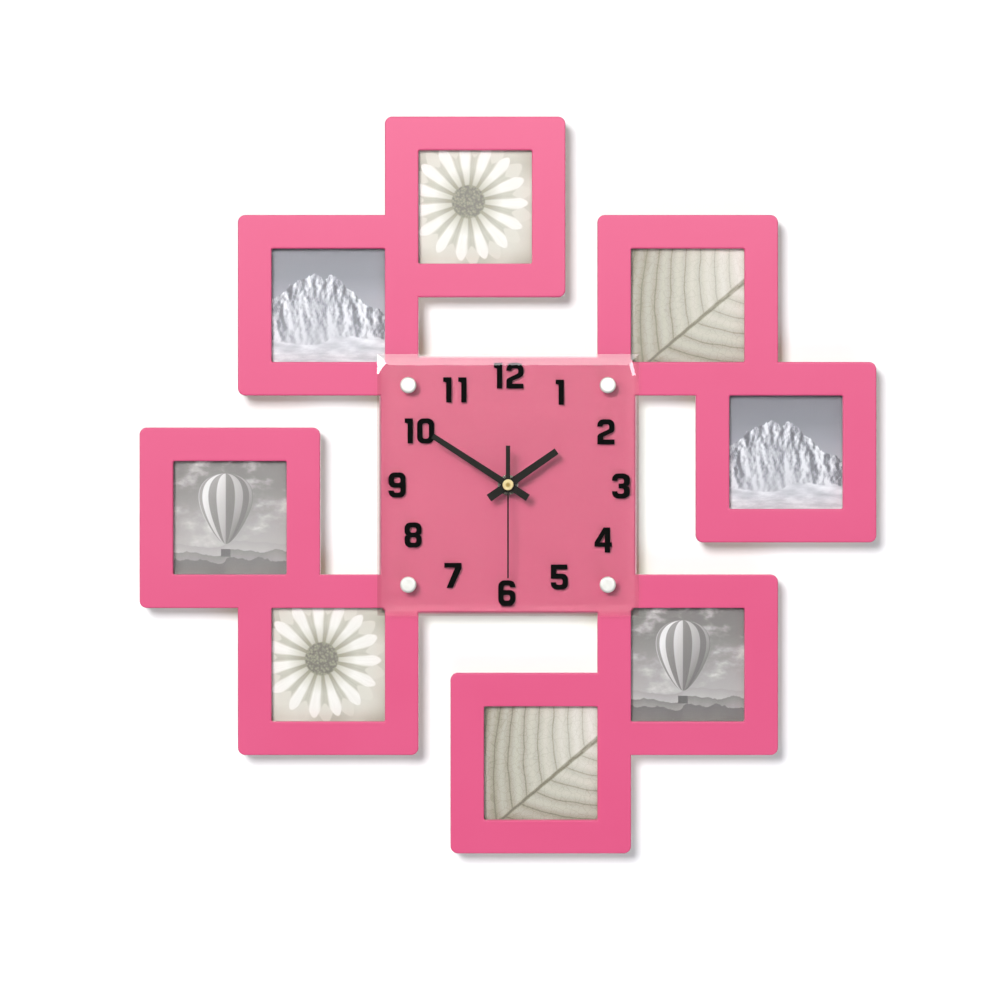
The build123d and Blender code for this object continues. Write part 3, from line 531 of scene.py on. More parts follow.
@dataclass(frozen=True)
class BalloonPicture(PhotoPaper):
    """A plain striped balloon above misty hills, under broken cloud.

    The envelope has its half height, half width and taper, the basket its half width and half
    height, and each row of hills its foot, its fineness and its tone.
    """

    middle: Point = (-0.08, 0.16)
    gores: float = 9.0
    envelope: float = 0.62
    belly: float = 0.44
    taper: float = 0.32
    basket: Point = (1 / 12, 1 / 15)
    basket_drop: float = 0.78
    hills: tuple[Triple, ...] = ((-0.83, 1.1, 0.56), (-0.98, 1.7, 0.4), (-1.12, 2.6, 0.18))

    def picture(self, tree: Tree) -> Socket:
        """Draws the clouds, three rows of hills, and the balloon with its basket.

        Args:
            tree: the material's node tree.
        Returns:
            The picture's tone, from nought for dark to one for light.
        """
        at = self.spot(tree, self.middle)
        x = add(tree, "SeparateXYZ", {0: at})
        z = x.node.outputs["Z"]
        flat = add(tree, "Mapping", {"Vector": at, "Scale": (1.0, 1.0, 1.9)})
        puff = add(tree, "TexNoise", {"Vector": flat, "Scale": 1.4, "Detail": 8.0, "Roughness": 0.6})
        puff = add(tree, "MapRange", {"Value": puff, "From Min": 0.45, "From Max": 0.68},
                   interpolation_type="SMOOTHSTEP")
        lit = self.relief(tree, flat, 1.4, (0.12, 0.0, -0.2))
        lit = add(tree, "Math", {0: lit, 1: 1.0, 2: 0.7}, operation="MULTIPLY_ADD")
        sky = add(tree, "MapRange", {"Value": z, "From Min": -0.8, "From Max": 0.9, "To Min": 0.66,
                                     "To Max": 0.28})
        view = add(tree, "Mix", {0: puff, 2: sky, 3: lit})
        for foot, fine, tone in self.hills:
            roll = add(tree, "TexNoise", {"W": x, "Scale": fine, "Detail": 5.0}, noise_dimensions="1D")
            crest = add(tree, "Math", {0: roll, 1: 0.42, 2: foot}, operation="MULTIPLY_ADD")
            above = add(tree, "Math", {0: z, 1: crest}, operation="SUBTRACT")
            mist = add(tree, "MapRange", {"Value": above, "From Min": -0.25, "From Max": 0.0,
                                          "To Min": tone + 0.2, "To Max": tone})
            view = add(tree, "Mix", {0: self.inside(tree, above, 0.01), 2: view, 3: mist})
        pear = add(tree, "Math", {0: z, 1: self.taper, 2: self.belly}, operation="MULTIPLY_ADD")
        wide = add(tree, "Math", {0: x, 1: pear}, operation="DIVIDE")
        tall = add(tree, "Math", {0: z, 1: self.envelope}, operation="DIVIDE")
        reach = add(tree, "CombineXYZ", {0: wide, 1: tall})
        reach = add(tree, "VectorMath", {0: reach}, "Value", operation="LENGTH")
        past = add(tree, "Math", {0: reach, 1: 1.0}, operation="SUBTRACT")
        girth = add(tree, "Math", {0: tall, 1: tall}, operation="MULTIPLY")
        girth = add(tree, "Math", {0: 1.0, 1: girth}, operation="SUBTRACT")
        girth = add(tree, "Math", {0: girth}, operation="SQRT")
        across = add(tree, "Math", {0: wide, 1: girth}, operation="DIVIDE")
        turn = add(tree, "Math", {0: across}, operation="ARCSINE")
        turn = add(tree, "Math", {0: turn, 1: self.gores}, operation="MULTIPLY")
        stripe = add(tree, "Math", {0: turn}, operation="SINE")
        stripe = add(tree, "MapRange", {"Value": stripe, "From Min": -0.15, "From Max": 0.15,
                                        "To Min": 0.95, "To Max": 0.5})
        shade = add(tree, "Math", {0: tall, 1: 0.45}, operation="MULTIPLY")
        shade = add(tree, "Math", {0: across, 1: -0.7, 2: shade}, operation="MULTIPLY_ADD")
        shade = add(tree, "MapRange", {"Value": shade, "From Min": -0.9, "From Max": 0.7, "To Min": 0.35,
                                       "To Max": 1.0})
        skin = add(tree, "Math", {0: stripe, 1: shade}, operation="MULTIPLY")
        view = add(tree, "Mix", {0: self.inside(tree, past, 0.015), 2: view, 3: skin})
        drop = add(tree, "Math", {0: z, 1: self.basket_drop}, operation="ADD")
        basket = add(tree, "CombineXYZ", {0: x, 1: drop})
        basket = add(tree, "VectorMath", {0: basket, 1: (*self.basket, 1.0)}, operation="DIVIDE")
        basket = add(tree, "VectorMath", {0: basket}, operation="ABSOLUTE")
        wicker = add(tree, "SeparateXYZ", {0: basket})
        wicker = add(tree, "Math", {0: wicker, 1: wicker.node.outputs["Y"]}, operation="MAXIMUM")
        wicker = add(tree, "Math", {0: wicker, 1: 1.0}, operation="SUBTRACT")
        return add(tree, "Mix", {0: self.inside(tree, wicker, 0.1), 2: view, 3: 0.1})


@dataclass(frozen=True)
class PressedHardboard(Finish):
    """Pressed hardboard, screen side out.

    The eye sees a warm brown felt of short fibres with the pressing screen's fine weave.
    """

    pale: str = "#8f6a45"
    fibre: float = 1.5
    mesh: float = 1.6

    def lay(self, tree: Tree, shader: bpy.types.Node) -> None:
        """Lays the fibre mottling and the screen's weave.

        Args:
            tree: the material's node tree.
            shader: its shader.
        """
        where = add(tree, "TexCoord", out="Object")
        felt = add(tree, "TexNoise", {"Vector": where, "Scale": per_mm(self.fibre), "Detail": 8.0,
                                      "Roughness": 0.7})
        brown = add(tree, "ValToRGB", {0: felt}, stops=[(0.3, self.colour), (0.7, self.pale)])
        join(tree, brown, shader, "Base Color")
        x = add(tree, "SeparateXYZ", {0: where})
        pitch = math.tau / (self.mesh * MM)
        warp = add(tree, "Math", {0: x, 1: pitch}, operation="MULTIPLY")
        warp = add(tree, "Math", {0: warp}, operation="SINE")
        weft = add(tree, "Math", {0: x.node.outputs["Z"], 1: pitch}, operation="MULTIPLY")
        weft = add(tree, "Math", {0: weft}, operation="SINE")
        weave = add(tree, "Math", {0: warp, 1: weft}, operation="MULTIPLY")
        weave = add(tree, "Math", {0: felt, 1: 1.5, 2: weave}, operation="MULTIPLY_ADD")
        join(tree, add(tree, "Bump", {"Height": weave, "Strength": 0.4, "Distance": 0.15 * MM}),
             shader, "Normal")


@dataclass(frozen=True)
class PlatedMetal(Finish):
    """Bright zinc or nickel plating on stamped steel, or a bare stamped lamination.

    The eye sees a clouded metal with the fine drag lines of the rolled sheet, which are many
    times as long as they are wide.
    """

    shade: str = "#808080"
    cloud: float = 3.0
    drag: float = 0.25
    drag_length: float = 40.0

    def lay(self, tree: Tree, shader: bpy.types.Node) -> None:
        """Lays the clouded plating and the rolling lines.

        Args:
            tree: the material's node tree.
            shader: its shader.
        """
        where = add(tree, "TexCoord", out="Object")
        cloud = add(tree, "TexNoise", {"Vector": where, "Scale": per_mm(self.cloud), "Detail": 4.0})
        plate = add(tree, "ValToRGB", {0: cloud}, stops=[(0.3, self.shade), (0.7, self.colour)])
        join(tree, plate, shader, "Base Color")
        fine, long = per_mm(self.drag), per_mm(self.drag * self.drag_length)
        roll = add(tree, "Mapping", {"Vector": where, "Scale": (fine, fine, long)})
        lines = add(tree, "TexNoise", {"Vector": roll, "Scale": 1.0, "Detail": 2.0})
        self.texture(tree, shader, lines, (0.08, 0.12), strength=0.1, depth=0.02)


@dataclass(frozen=True)
class TurnedMetal(Finish):
    """Metal turned on a lathe, with the tool's rings left round its axis.

    The eye sees a soft metal whose glint fans out from the middle. Painted shade darkens the
    hollow in the middle, full on its floor and ending at its lip, both in millimetres from the axis.
    """

    ring: float = 0.35
    dulling: float = 0.8
    tarnish: str = "#808080"
    floor: float = 0.72
    lip: float = 2.28

    def lay(self, tree: Tree, shader: bpy.types.Node) -> None:
        """Lays the tool rings and the painted shade in the hollow at the middle.

        Args:
            tree: the material's node tree.
            shader: its shader.
        """
        where = add(tree, "TexCoord", out="Object")
        level = add(tree, "Mapping", {"Vector": where, "Scale": (1.0, 0.0, 1.0)})
        reach = add(tree, "VectorMath", {0: level}, "Value", operation="LENGTH")
        rings = add(tree, "TexNoise", {"W": reach, "Scale": per_mm(self.ring), "Detail": 2.0},
                    noise_dimensions="1D")
        self.texture(tree, shader, rings, (0.06, 0.1), strength=0.12, depth=0.03)
        bright = linear(self.colour)
        dull = (*(self.dulling * c for c in bright[:3]), 1.0)
        turned = add(tree, "Mix", {0: rings, 6: bright, 7: dull}, 2, data_type="RGBA")
        # painted shade: the brass darkens towards the shade colour in the hollow at the middle
        shaded_hollow = add(tree, "MapRange", {"Value": reach, "From Min": self.floor * MM,
                                      "From Max": self.lip * MM, "To Min": 1.0, "To Max": 0.0},
                   interpolation_type="SMOOTHSTEP")
        join(tree, add(tree, "Mix", {0: shaded_hollow, 6: turned, 7: linear(self.tarnish)}, 2, data_type="RGBA"),
             shader, "Base Color")


@dataclass(frozen=True)
class GrainedSkin(Finish):
    """A moulded, painted or printed skin with an even fine grain.

    The eye sees one calm colour, a little broken, whose sheen the grain softens.
    """

    shade: str = "#808080"
    grain: float = 0.5
    depth: float = 0.03
    cloud: float = 8.0

    def lay(self, tree: Tree, shader: bpy.types.Node) -> None:
        """Lays the grain, the uneven sheen and the slight change of colour.

        Args:
            tree: the material's node tree.
            shader: its shader.
        """
        where = add(tree, "TexCoord", out="Object")
        cloud = add(tree, "TexNoise", {"Vector": where, "Scale": per_mm(self.cloud), "Detail": 3.0})
        skin = add(tree, "ValToRGB", {0: cloud}, stops=[(0.3, self.shade), (0.7, self.colour)])
        join(tree, skin, shader, "Base Color")
        grain = add(tree, "TexNoise", {"Vector": where, "Scale": per_mm(self.grain), "Detail": 2.0})
        self.texture(tree, shader, grain, (0.05, 0.08), strength=0.2, depth=self.depth)


@dataclass(frozen=True)
class WoundCopper(Finish):
    """Enamelled copper wire, wound turn beside turn.

    The eye sees fine copper ridges across the coil, with painted shade as dark lines in the grooves
    between the turns.
    """

    wire: float = 0.4
    # painted shade in the grooves between the turns
    dark: str = "#4a1d0c"

    def lay(self, tree: Tree, shader: bpy.types.Node) -> None:
        """Lays the turns of wire, drawn coarser than the real wire so that they show.

        Args:
            tree: the material's node tree.
            shader: its shader.
        """
        where = add(tree, "TexCoord", out="Object")
        x = add(tree, "SeparateXYZ", {0: where})
        turns = add(tree, "Math", {0: x, 1: math.tau / (self.wire * MM)}, operation="MULTIPLY")
        turns = add(tree, "Math", {0: turns}, operation="SINE")
        crest = add(tree, "MapRange", {"Value": turns, "From Min": -1.0})
        # painted shade: the copper darkens to the dark colour in the grooves between the turns
        copper = add(tree, "ValToRGB", {0: crest}, stops=[(0.0, self.dark), (0.5, self.colour)])
        join(tree, copper, shader, "Base Color")
        join(tree, add(tree, "Bump", {"Height": crest, "Strength": 0.6, "Distance": 0.1 * MM}),
             shader, "Normal")


@dataclass(frozen=True)
class EtchedBoard(Finish):
    """Resin-paper circuit board under green solder resist.

    The eye sees a glossy green with paler tracks where the copper lies underneath.
    """

    track: str = "#3f8a52"
    pitch: float = 3.2

    def lay(self, tree: Tree, shader: bpy.types.Node) -> None:
        """Lays the tracks under the resist.

        Args:
            tree: the material's node tree.
            shader: its shader.
        """
        where = add(tree, "TexCoord", out="Object")
        cells = add(tree, "TexVoronoi", {"Vector": where, "Scale": per_mm(self.pitch)},
                    distance="CHEBYCHEV")
        lines = add(tree, "MapRange", {"Value": cells, "From Min": 0.35, "From Max": 0.4})
        join(tree, add(tree, "Mix", {0: lines, 6: linear(self.colour), 7: linear(self.track)}, 2,
                       data_type="RGBA"), shader, "Base Color")
        join(tree, add(tree, "Bump", {"Height": lines, "Strength": 0.3, "Distance": 0.04 * MM}),
             shader, "Normal")


@dataclass(frozen=True)
class CellJacket(Finish):
    """A dry cell: printed foil jacket with a metallic band, and bare steel ends.

    The eye sees a dark satin sleeve, a gold shoulder and bright metal at both ends.
    """

    band: str = "#c9963c"
    steel: str = "#c4c6c8"
    shoulder: float = 12.0
    bleed: float = 0.1
    scuff: float = 2.0

    def lay(self, tree: Tree, shader: bpy.types.Node) -> None:
        """Lays the sleeve, the band near the positive end and the steel ends.

        Args:
            tree: the material's node tree.
            shader: its shader.
        """
        where = add(tree, "TexCoord", out="Object")
        x = add(tree, "SeparateXYZ", {0: where})
        gold = add(tree, "MapRange", {"Value": x, "From Min": (self.shoulder - self.bleed) * MM,
                                      "From Max": (self.shoulder + self.bleed) * MM})
        sleeve = add(tree, "Mix", {0: gold, 6: linear(self.colour), 7: linear(self.band)}, 2,
                     data_type="RGBA")
        normal = add(tree, "NewGeometry", out="True Normal")
        ends = add(tree, "SeparateXYZ", {0: normal})
        ends = add(tree, "Math", {0: ends}, operation="ABSOLUTE")
        ends = add(tree, "MapRange", {"Value": ends, "From Min": 0.6, "From Max": 0.7})
        join(tree, add(tree, "Mix", {0: ends, 6: sleeve, 7: linear(self.steel)}, 2, data_type="RGBA"),
             shader, "Base Color")
        metal = add(tree, "Math", {0: gold, 1: ends}, operation="MAXIMUM")
        join(tree, metal, shader, "Metallic")
        scuff = add(tree, "TexNoise", {"Vector": where, "Scale": per_mm(self.scuff), "Detail": 5.0})
        join(tree, add(tree, "MapRange", {"Value": scuff, "To Min": self.roughness - 0.08,
                                          "To Max": self.roughness + 0.12}), shader, "Roughness")


@dataclass(frozen=True)
class WallPaint(Finish):
    """Smooth white wall paint on the wall behind the clock, which is not part of it.

    The eye sees an even white on which the clock's soft shadows fall.
    """

    glow: float = 0.08

    def lay(self, tree: Tree, shader: bpy.types.Node) -> None:
        """Lays the paint with a faint glow, and lets the wall vanish when it is seen from behind.

        Args:
            tree: the material's node tree.
            shader: its shader.
        """
        shader.inputs["Emission Color"].default_value = (1.0, 1.0, 1.0, 1.0)
        shader.inputs["Emission Strength"].default_value = self.glow
        back = add(tree, "NewGeometry", out="Backfacing")
        clear = add(tree, "BsdfTransparent")
        both = add(tree, "MixShader", {0: back, 1: shader.outputs[0], 2: clear})
        tree.links.new(both, tree.nodes["Material Output"].inputs["Surface"])


def dress(material: bpy.types.Material, *names: str) -> None:
    """Puts a material on CAD nodes.

    Args:
        material: the material.
        names: the nodes that get it.
    """
    for name in names:
        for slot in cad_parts[name].material_slots:
            slot.material = material
        log.info("dressed %s in %s", name, material.name)


def rounded(corners: list[Corner], steps: int = 7) -> list[Point]:
    """Rounds the corners of a closed outline.

    Args:
        corners: for each corner its place across and up, and its radius.
        steps: how many points each rounded corner gets.
    Returns:
        The outline's points.
    """
    points: list[Point] = []
    for i, (x, y, radius) in enumerate(corners):
        here = Vector((x, y))
        if radius <= 0.0:
            points.append((x, y))
            continue
        back = (Vector(corners[i - 1][:2]) - here).normalized()
        ahead = (Vector(corners[(i + 1) % len(corners)][:2]) - here).normalized()
        half = 0.5 * math.acos(max(-1.0, min(1.0, back.dot(ahead))))
        middle = here + (back + ahead).normalized() * (radius / math.sin(half))
        start = here + back * (radius / math.tan(half)) - middle
        end = here + ahead * (radius / math.tan(half)) - middle
        sweep = math.atan2(start.x * end.y - start.y * end.x, start.dot(end))
        first = math.atan2(start.y, start.x)
        for k in range(steps):
            angle = first + sweep * k / (steps - 1)
            points.append((middle.x + radius * math.cos(angle), middle.y + radius * math.sin(angle)))
    return points


@dataclass
class Numerals:
    """The hours, printed in black on the back of the dial glass, with sizes in millimetres.

    The film of ink reaches a bite into the glass, so that the two touch.
    """

    height: float = 17.0
    width: float = 11.6
    slim_width: float = 5.6
    stem: float = 3.6
    bar: float = 3.3
    film: float = 0.1
    bite: float = 0.02
    gap: float = 2.8
    slim_gap: float = 4.6
    ink: Finish = GrainedSkin("black screen-printed enamel ink", "#060606", 0.6, specular=0.0,
                              shade="#090909", grain=0.3, depth=0.01)
    places: dict[int, Point] = field(default_factory=lambda: {
        1: (35.1, 62.8), 2: (66.3, 36.0), 3: (76.3, -0.7), 4: (64.4, -37.3), 5: (34.8, -62.4),
        6: (-0.8, -73.1), 7: (-37.3, -61.3), 8: (-64.3, -33.9), 9: (-75.1, 0.0), 10: (-60.0, 36.6),
        11: (-36.0, 64.4), 12: (0.5, 73.8)})

    def digit(self, figure: str) -> tuple[float, list[list[Corner]]]:
        """Gives a figure's outlines, the outer one first.

        Args:
            figure: the figure, from 0 to 9.
        Returns:
            The figure's width, and each outline's corners with their radii.
        """
        w, h, t, s = self.width, self.height, self.stem, self.bar
        slim = self.slim_width
        bowl = 10.4
        six_out = [(0, 0, 4), (w, 0, 4), (w, bowl, 3.6), (t, bowl, 0), (t, h - s, 1.4),
                   (w - t, h - s, 1.2), (w - t, h - 4.8, 0), (w, h - 4.8, 0), (w, h, 4), (0, h, 4)]
        six_in = [(t, s, 1.4), (w - t, s, 1.4), (w - t, bowl - s, 1.4), (t, bowl - s, 1.0)]
        ring = [(0, 0, 4.2), (w, 0, 4.2), (w, h, 4.2), (0, h, 4.2)]
        waist = 0.5 * h
        shapes: dict[str, list[list[Corner]]] = {
            "0": [ring, [(t, s, 1.6), (w - t, s, 1.6), (w - t, h - s, 1.6), (t, h - s, 1.6)]],
            "1": [[(2.0, 0, 0), (slim, 0, 0), (slim, h, 0), (0, h, 0), (0, h - 3, 0), (2.0, h - 3.4, 0)]],
            "2": [[(w, h, 4), (w, 8.6, 2.8), (t + 0.4, 5.2, 1), (t + 0.4, s, 0), (w, s, 0), (w, 0, 0),
                   (0, 0, 0), (0, 6.6, 2.6), (w - t, 10.4, 1), (w - t, h - s, 1.4), (t, h - s, 1.2),
                   (t, h - 5, 0), (0, h - 5, 0), (0, h, 4)]],
            "3": [[(0, 0, 4), (w, 0, 4), (w, waist - 0.1, 2.4), (w - 0.9, waist, 0), (w, waist + 0.1, 2.4),
                   (w, h, 4), (0, h, 4), (0, h - 5, 0), (t, h - 5, 0), (t, h - s, 1.2),
                   (w - t, h - s, 1.4), (w - t, waist + 0.5 * s, 1.2), (t + 0.8, waist + 0.5 * s, 0),
                   (t + 0.8, waist - 0.5 * s, 0), (w - t, waist - 0.5 * s, 1.2), (w - t, s, 1.4),
                   (t, s, 1.2), (t, 5, 0), (0, 5, 0)]],
            "4": [[(6.2, h, 0), (10.6, h, 0), (10.6, 6.9, 0), (w + 0.2, 6.9, 0), (w + 0.2, 3.9, 0),
                   (10.6, 3.9, 0), (10.6, 0, 0), (6.9, 0, 0), (6.9, 3.9, 0), (0, 3.9, 0), (0, 6.9, 0)],
                  [(3.6, 6.9, 0), (6.9, 6.9, 0), (6.9, 12.4, 0)]],
            "5": [[(0, 0, 4), (w, 0, 4), (w, 10.8, 3.8), (t, 10.8, 0), (t, h - s, 0), (w - 0.4, h - s, 0),
                   (w - 0.4, h, 0), (0, h, 0), (0, 7.4, 0), (w - t, 7.4, 1.4), (w - t, s, 1.4),
                   (t, s, 1.2), (t, 5, 0), (0, 5, 0)]],
            "6": [six_out, six_in],
            "7": [[(0, h, 0), (w, h, 0), (w, h - s - 0.6, 0), (5.6, 0, 0), (1.5, 0, 0), (7.2, h - s, 0),
                   (0, h - s, 0)]],
            "8": [[(0, 0, 4), (w, 0, 4), (w, waist - 0.1, 2.4), (w - 0.7, waist, 0), (w, waist + 0.1, 2.4),
                   (w, h, 4), (0, h, 4), (0, waist + 0.1, 2.4), (0.7, waist, 0), (0, waist - 0.1, 2.4)],
                  [(t, s, 1.3), (w - t, s, 1.3), (w - t, waist - 0.5 * s, 1.3), (t, waist - 0.5 * s, 1.3)],
                  [(t, waist + 0.5 * s, 1.3), (w - t, waist + 0.5 * s, 1.3), (w - t, h - s, 1.3),
                   (t, h - s, 1.3)]],
            "9": [[(w - x, h - y, r) for x, y, r in six_out], [(w - x, h - y, r) for x, y, r in six_in]],
        }
        return (slim if figure == "1" else w), shapes[figure]

    def outlines(self, hour: int) -> list[list[Point]]:
        """Sets the figures of one hour side by side about its middle.

        Args:
            hour: the hour, from 1 to 12.
        Returns:
            The closed outlines, in millimetres from the middle of the hour.
        """
        placed: list[list[Point]] = []
        gap = self.slim_gap if hour == 11 else self.gap
        start = 0.0
        for figure in str(hour):
            width, shapes = self.digit(figure)
            placed += [[(x + start, y) for x, y in rounded(shape)] for shape in shapes]
            start += width + gap
        middle = 0.5 * (start - gap)
        return [[(x - middle, y - 0.5 * self.height) for x, y in shape] for shape in placed]

    def build(self) -> None:
        """Builds each hour as a thin film of ink that touches the glass from behind."""
        material = self.ink.material()
        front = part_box("dial_glass")[1].y - self.bite * MM
        for hour, (x, z) in self.places.items():
            mesh = bpy.data.meshes.new(f"numeral_{hour}")
            shape = bmesh.new()
            for outline in self.outlines(hour):
                ring = [shape.verts.new(((x + u) * MM, front, (z + v) * MM)) for u, v in outline]
                for i, vert in enumerate(ring):
                    shape.edges.new((ring[i - 1], vert))
            bmesh.ops.triangle_fill(shape, use_beauty=True, edges=shape.edges[:])
            skin = bmesh.ops.extrude_face_region(shape, geom=shape.faces[:])
            raised = [v for v in skin["geom"] if isinstance(v, bmesh.types.BMVert)]
            bmesh.ops.translate(shape, verts=raised, vec=(0.0, self.film * MM, 0.0))
            bmesh.ops.recalc_face_normals(shape, faces=shape.faces[:])
            shape.to_mesh(mesh)
            shape.free()
            mesh.materials.append(material)
            numeral = bpy.data.objects.new(mesh.name, mesh)
            bpy.context.scene.collection.objects.link(numeral)
            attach(numeral, "clock")
            log.info("printed %s", numeral.name)


@dataclass
class FrameBoard:
    """The routed pink board, with its glazing, backs and turn buttons."""

    lacquer: Finish = SprayedLacquer("satin sprayed lacquer on routed fibreboard", "#d54d79", 0.4,
                                     tint="#d7517d")
    pane: Finish = ClearSheet("clear cast acrylic sheet", "#ffffff", 0.02, ior=1.49)
    back: Finish = PressedHardboard("pressed hardboard", "#6a4a2e", 0.85)
    zinc: Finish = PlatedMetal("bright zinc plate on stamped steel", "#c9ccd0", 0.34, 1.0, shade="#a9adb4")

    def build(self) -> None:
        """Dresses the board and the pieces that close the frames at the back."""
        dress(self.lacquer.material(), "frame_board")
        dress(self.pane.material(), "glazing_panes")
        dress(self.back.material(), "backing_boards")
        buttons = [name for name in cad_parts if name.startswith("turn_button")]
        dress(self.zinc.material(), *buttons)


WARM_PALE = ((0.0, "#2f2d24"), (0.35, "#807d6a"), (0.7, "#c3c1b5"), (1.0, "#e2e1db"))
COOL_DARK = ((0.0, "#101116"), (0.4, "#67686f"), (0.75, "#b5b6bb"), (1.0, "#e2e3e5"))
OLIVE = ((0.0, "#211d12"), (0.35, "#69644f"), (0.7, "#b6b3a5"), (1.0, "#dddbd4"))
GREY = ((0.0, "#161514"), (0.4, "#625f5c"), (0.75, "#b0adaa"), (1.0, "#e2e1df"))


@dataclass
class Pictures:
    """The eight pictures, four motifs that each show twice."""

    motifs: dict[Place, type[PhotoPaper]] = field(default_factory=lambda: {
        Place.TOP: DaisyPicture, Place.UPPER_RIGHT: LeafPicture, Place.RIGHT: PeaksPicture,
        Place.LOWER_RIGHT: BalloonPicture, Place.BOTTOM: LeafPicture, Place.LOWER_LEFT: DaisyPicture,
        Place.LEFT: BalloonPicture, Place.UPPER_LEFT: PeaksPicture})
    toning: dict[type[PhotoPaper], tuple[tuple[float, str], ...]] = field(default_factory=lambda: {
        DaisyPicture: WARM_PALE, PeaksPicture: COOL_DARK, LeafPicture: OLIVE, BalloonPicture: GREY})

    def build(self) -> None:
        """Prints each picture on its own sheet, centred on the sheet."""
        for place, motif in self.motifs.items():
            node = f"photo_print_{place.value}"
            low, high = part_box(node)
            centre = (0.5 * (low.x + high.x) / MM, 0.5 * (low.z + high.z) / MM)
            paper = motif(f"pearl photo paper {place.value}", roughness=0.4, centre=centre,
                          tones=self.toning[motif])
            dress(paper.material(), node)


@dataclass
class GlassDial:
    """The bevelled glass with its spacers, screws and caps, and the nut at its middle."""

    rim: float = 3.6
    nylon: Finish = GrainedSkin("natural moulded nylon", "#e6e4dc", 0.4, shade="#dcdad0", grain=0.8)
    zinc: Finish = PlatedMetal("zinc plate on steel screws", "#c9ccd0", 0.34, 1.0, shade="#a9adb4")
    cap: Finish = PlatedMetal("satin silver plate on brass caps", "#dcdcd6", 0.5, 0.5, shade="#d2d2cb")
    nickel: Finish = PlatedMetal("bright nickel on brass", "#e2dccf", 0.24, 1.0, shade="#c4bdae")

    def build(self) -> None:
        """Dresses the glass and everything that holds it."""
        low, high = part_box("dial_glass")
        half = 0.5 * (high.x - low.x) / MM
        glass = ClearSheet("bevelled float glass", "#f2f8f1", 0.0, ior=1.52, half=half, rim=self.rim)
        dress(glass.material(), "dial_glass")
        dress(self.nylon.material(), "dial_spacers")
        dress(self.zinc.material(), "dial_screws")
        dress(self.cap.material(), "screw_caps")
        dress(self.nickel.material(), "nut_washer", "mounting_nut")


@dataclass
class Hands:
    """The three hands."""

    paint: Finish = GrainedSkin("black baked enamel on stamped aluminium", "#1b1b17", 0.36, specular=0.2,
                                shade="#161612", grain=0.4)
    # the hollow shade colour is painted shade in the boss's dimple
    brass: Finish = TurnedMetal("turned brass", "#dccb98", 0.45, 1.0, tarnish="#9a824a")

    def build(self) -> None:
        """Dresses the hands and the second hand's boss."""
        dress(self.paint.material(), "hour_hand", "minute_hand", "second_hand")
        dress(self.brass.material(), "second_hand_boss")


@dataclass
class Movement:
    """The quartz movement behind the dial, with its cell, motor and wheels."""

    shell: Finish = GrainedSkin("spark-textured moulded ABS", "#17171a", 0.52, shade="#131316", grain=0.6,
                                depth=0.06)
    rubber: Finish = GrainedSkin("moulded rubber", "#141414", 0.8, shade="#1a1a1a", grain=0.9)
    acetal: Finish = GrainedSkin("moulded acetal", "#eceae2", 0.35, shade="#e4e2d8", grain=0.7)
    spring: Finish = PlatedMetal("bright nickel on spring steel", "#cfcabf", 0.26, 1.0, shade="#b9b3a6")
    iron: Finish = PlatedMetal("stamped soft iron laminations", "#9a9a9c", 0.42, 1.0, shade="#7f8084",
                               drag=0.5)
    magnet: Finish = GrainedSkin("sintered ferrite magnet", "#3a3a3d", 0.55, shade="#2d2d30", grain=0.3)
    copper: Finish = WoundCopper("enamelled copper wire", "#b8643a", 0.3, 1.0)
    board: Finish = EtchedBoard("resin-paper circuit board", "#1f5a34", 0.35)
    can: Finish = PlatedMetal("drawn nickel-silver can", "#c8c6c0", 0.25, 1.0, shade="#b0aea8")
    jacket: Finish = CellJacket("printed foil cell jacket", "#1c1d22", 0.35)

    def build(self) -> None:
        """Dresses the case, the cell, the electric parts and the train."""
        dress(self.shell.material(), "movement_case", "movement_cover", "setting_knob")
        dress(self.rubber.material(), "rubber_gasket")
        dress(self.acetal.material(), "minute_wheel", "hour_wheel", "centre_wheel", "third_wheel",
              "second_wheel", "intermediate_wheel")
        dress(self.spring.material(), "battery_contacts")
        dress(self.iron.material(), "stator", "coil_core")
        dress(self.magnet.material(), "rotor")
        dress(self.copper.material(), "coil")
        dress(self.board.material(), "circuit_board")
        dress(self.can.material(), "quartz_crystal")
        dress(self.jacket.material(), "battery")


@dataclass(frozen=True)
class Lamp:
    """A soft lamp that faces the clock, with its place and size in metres and its power in watts.

    The roll is how far it is turned about its own axis, in degrees.
    """

    name: str
    place: Triple
    size: Point
    power: float
    use: LampUse = LampUse.LIGHT
    roll: float = 0.0
    colour: str = "#ffffff"

    def hang(self) -> None:
        """Adds the lamp to the scene and turns it to the clock."""
        data = bpy.data.lights.new(self.name, "AREA")
        data.shape = "RECTANGLE"
        data.size, data.size_y = self.size
        data.energy = self.power
        data.color = linear(self.colour)[:3]
        lamp = bpy.data.objects.new(self.name, data)
        lamp.location = self.place
        turn = Quaternion((0.0, 0.0, 1.0), math.radians(self.roll))
        lamp.rotation_euler = ((-Vector(self.place)).to_track_quat("-Z", "Y") @ turn).to_euler()
        lamp.visible_glossy = self.use is not LampUse.LIGHT
        lamp.visible_diffuse = self.use is not LampUse.GLOSS
        bpy.context.scene.collection.objects.link(lamp)


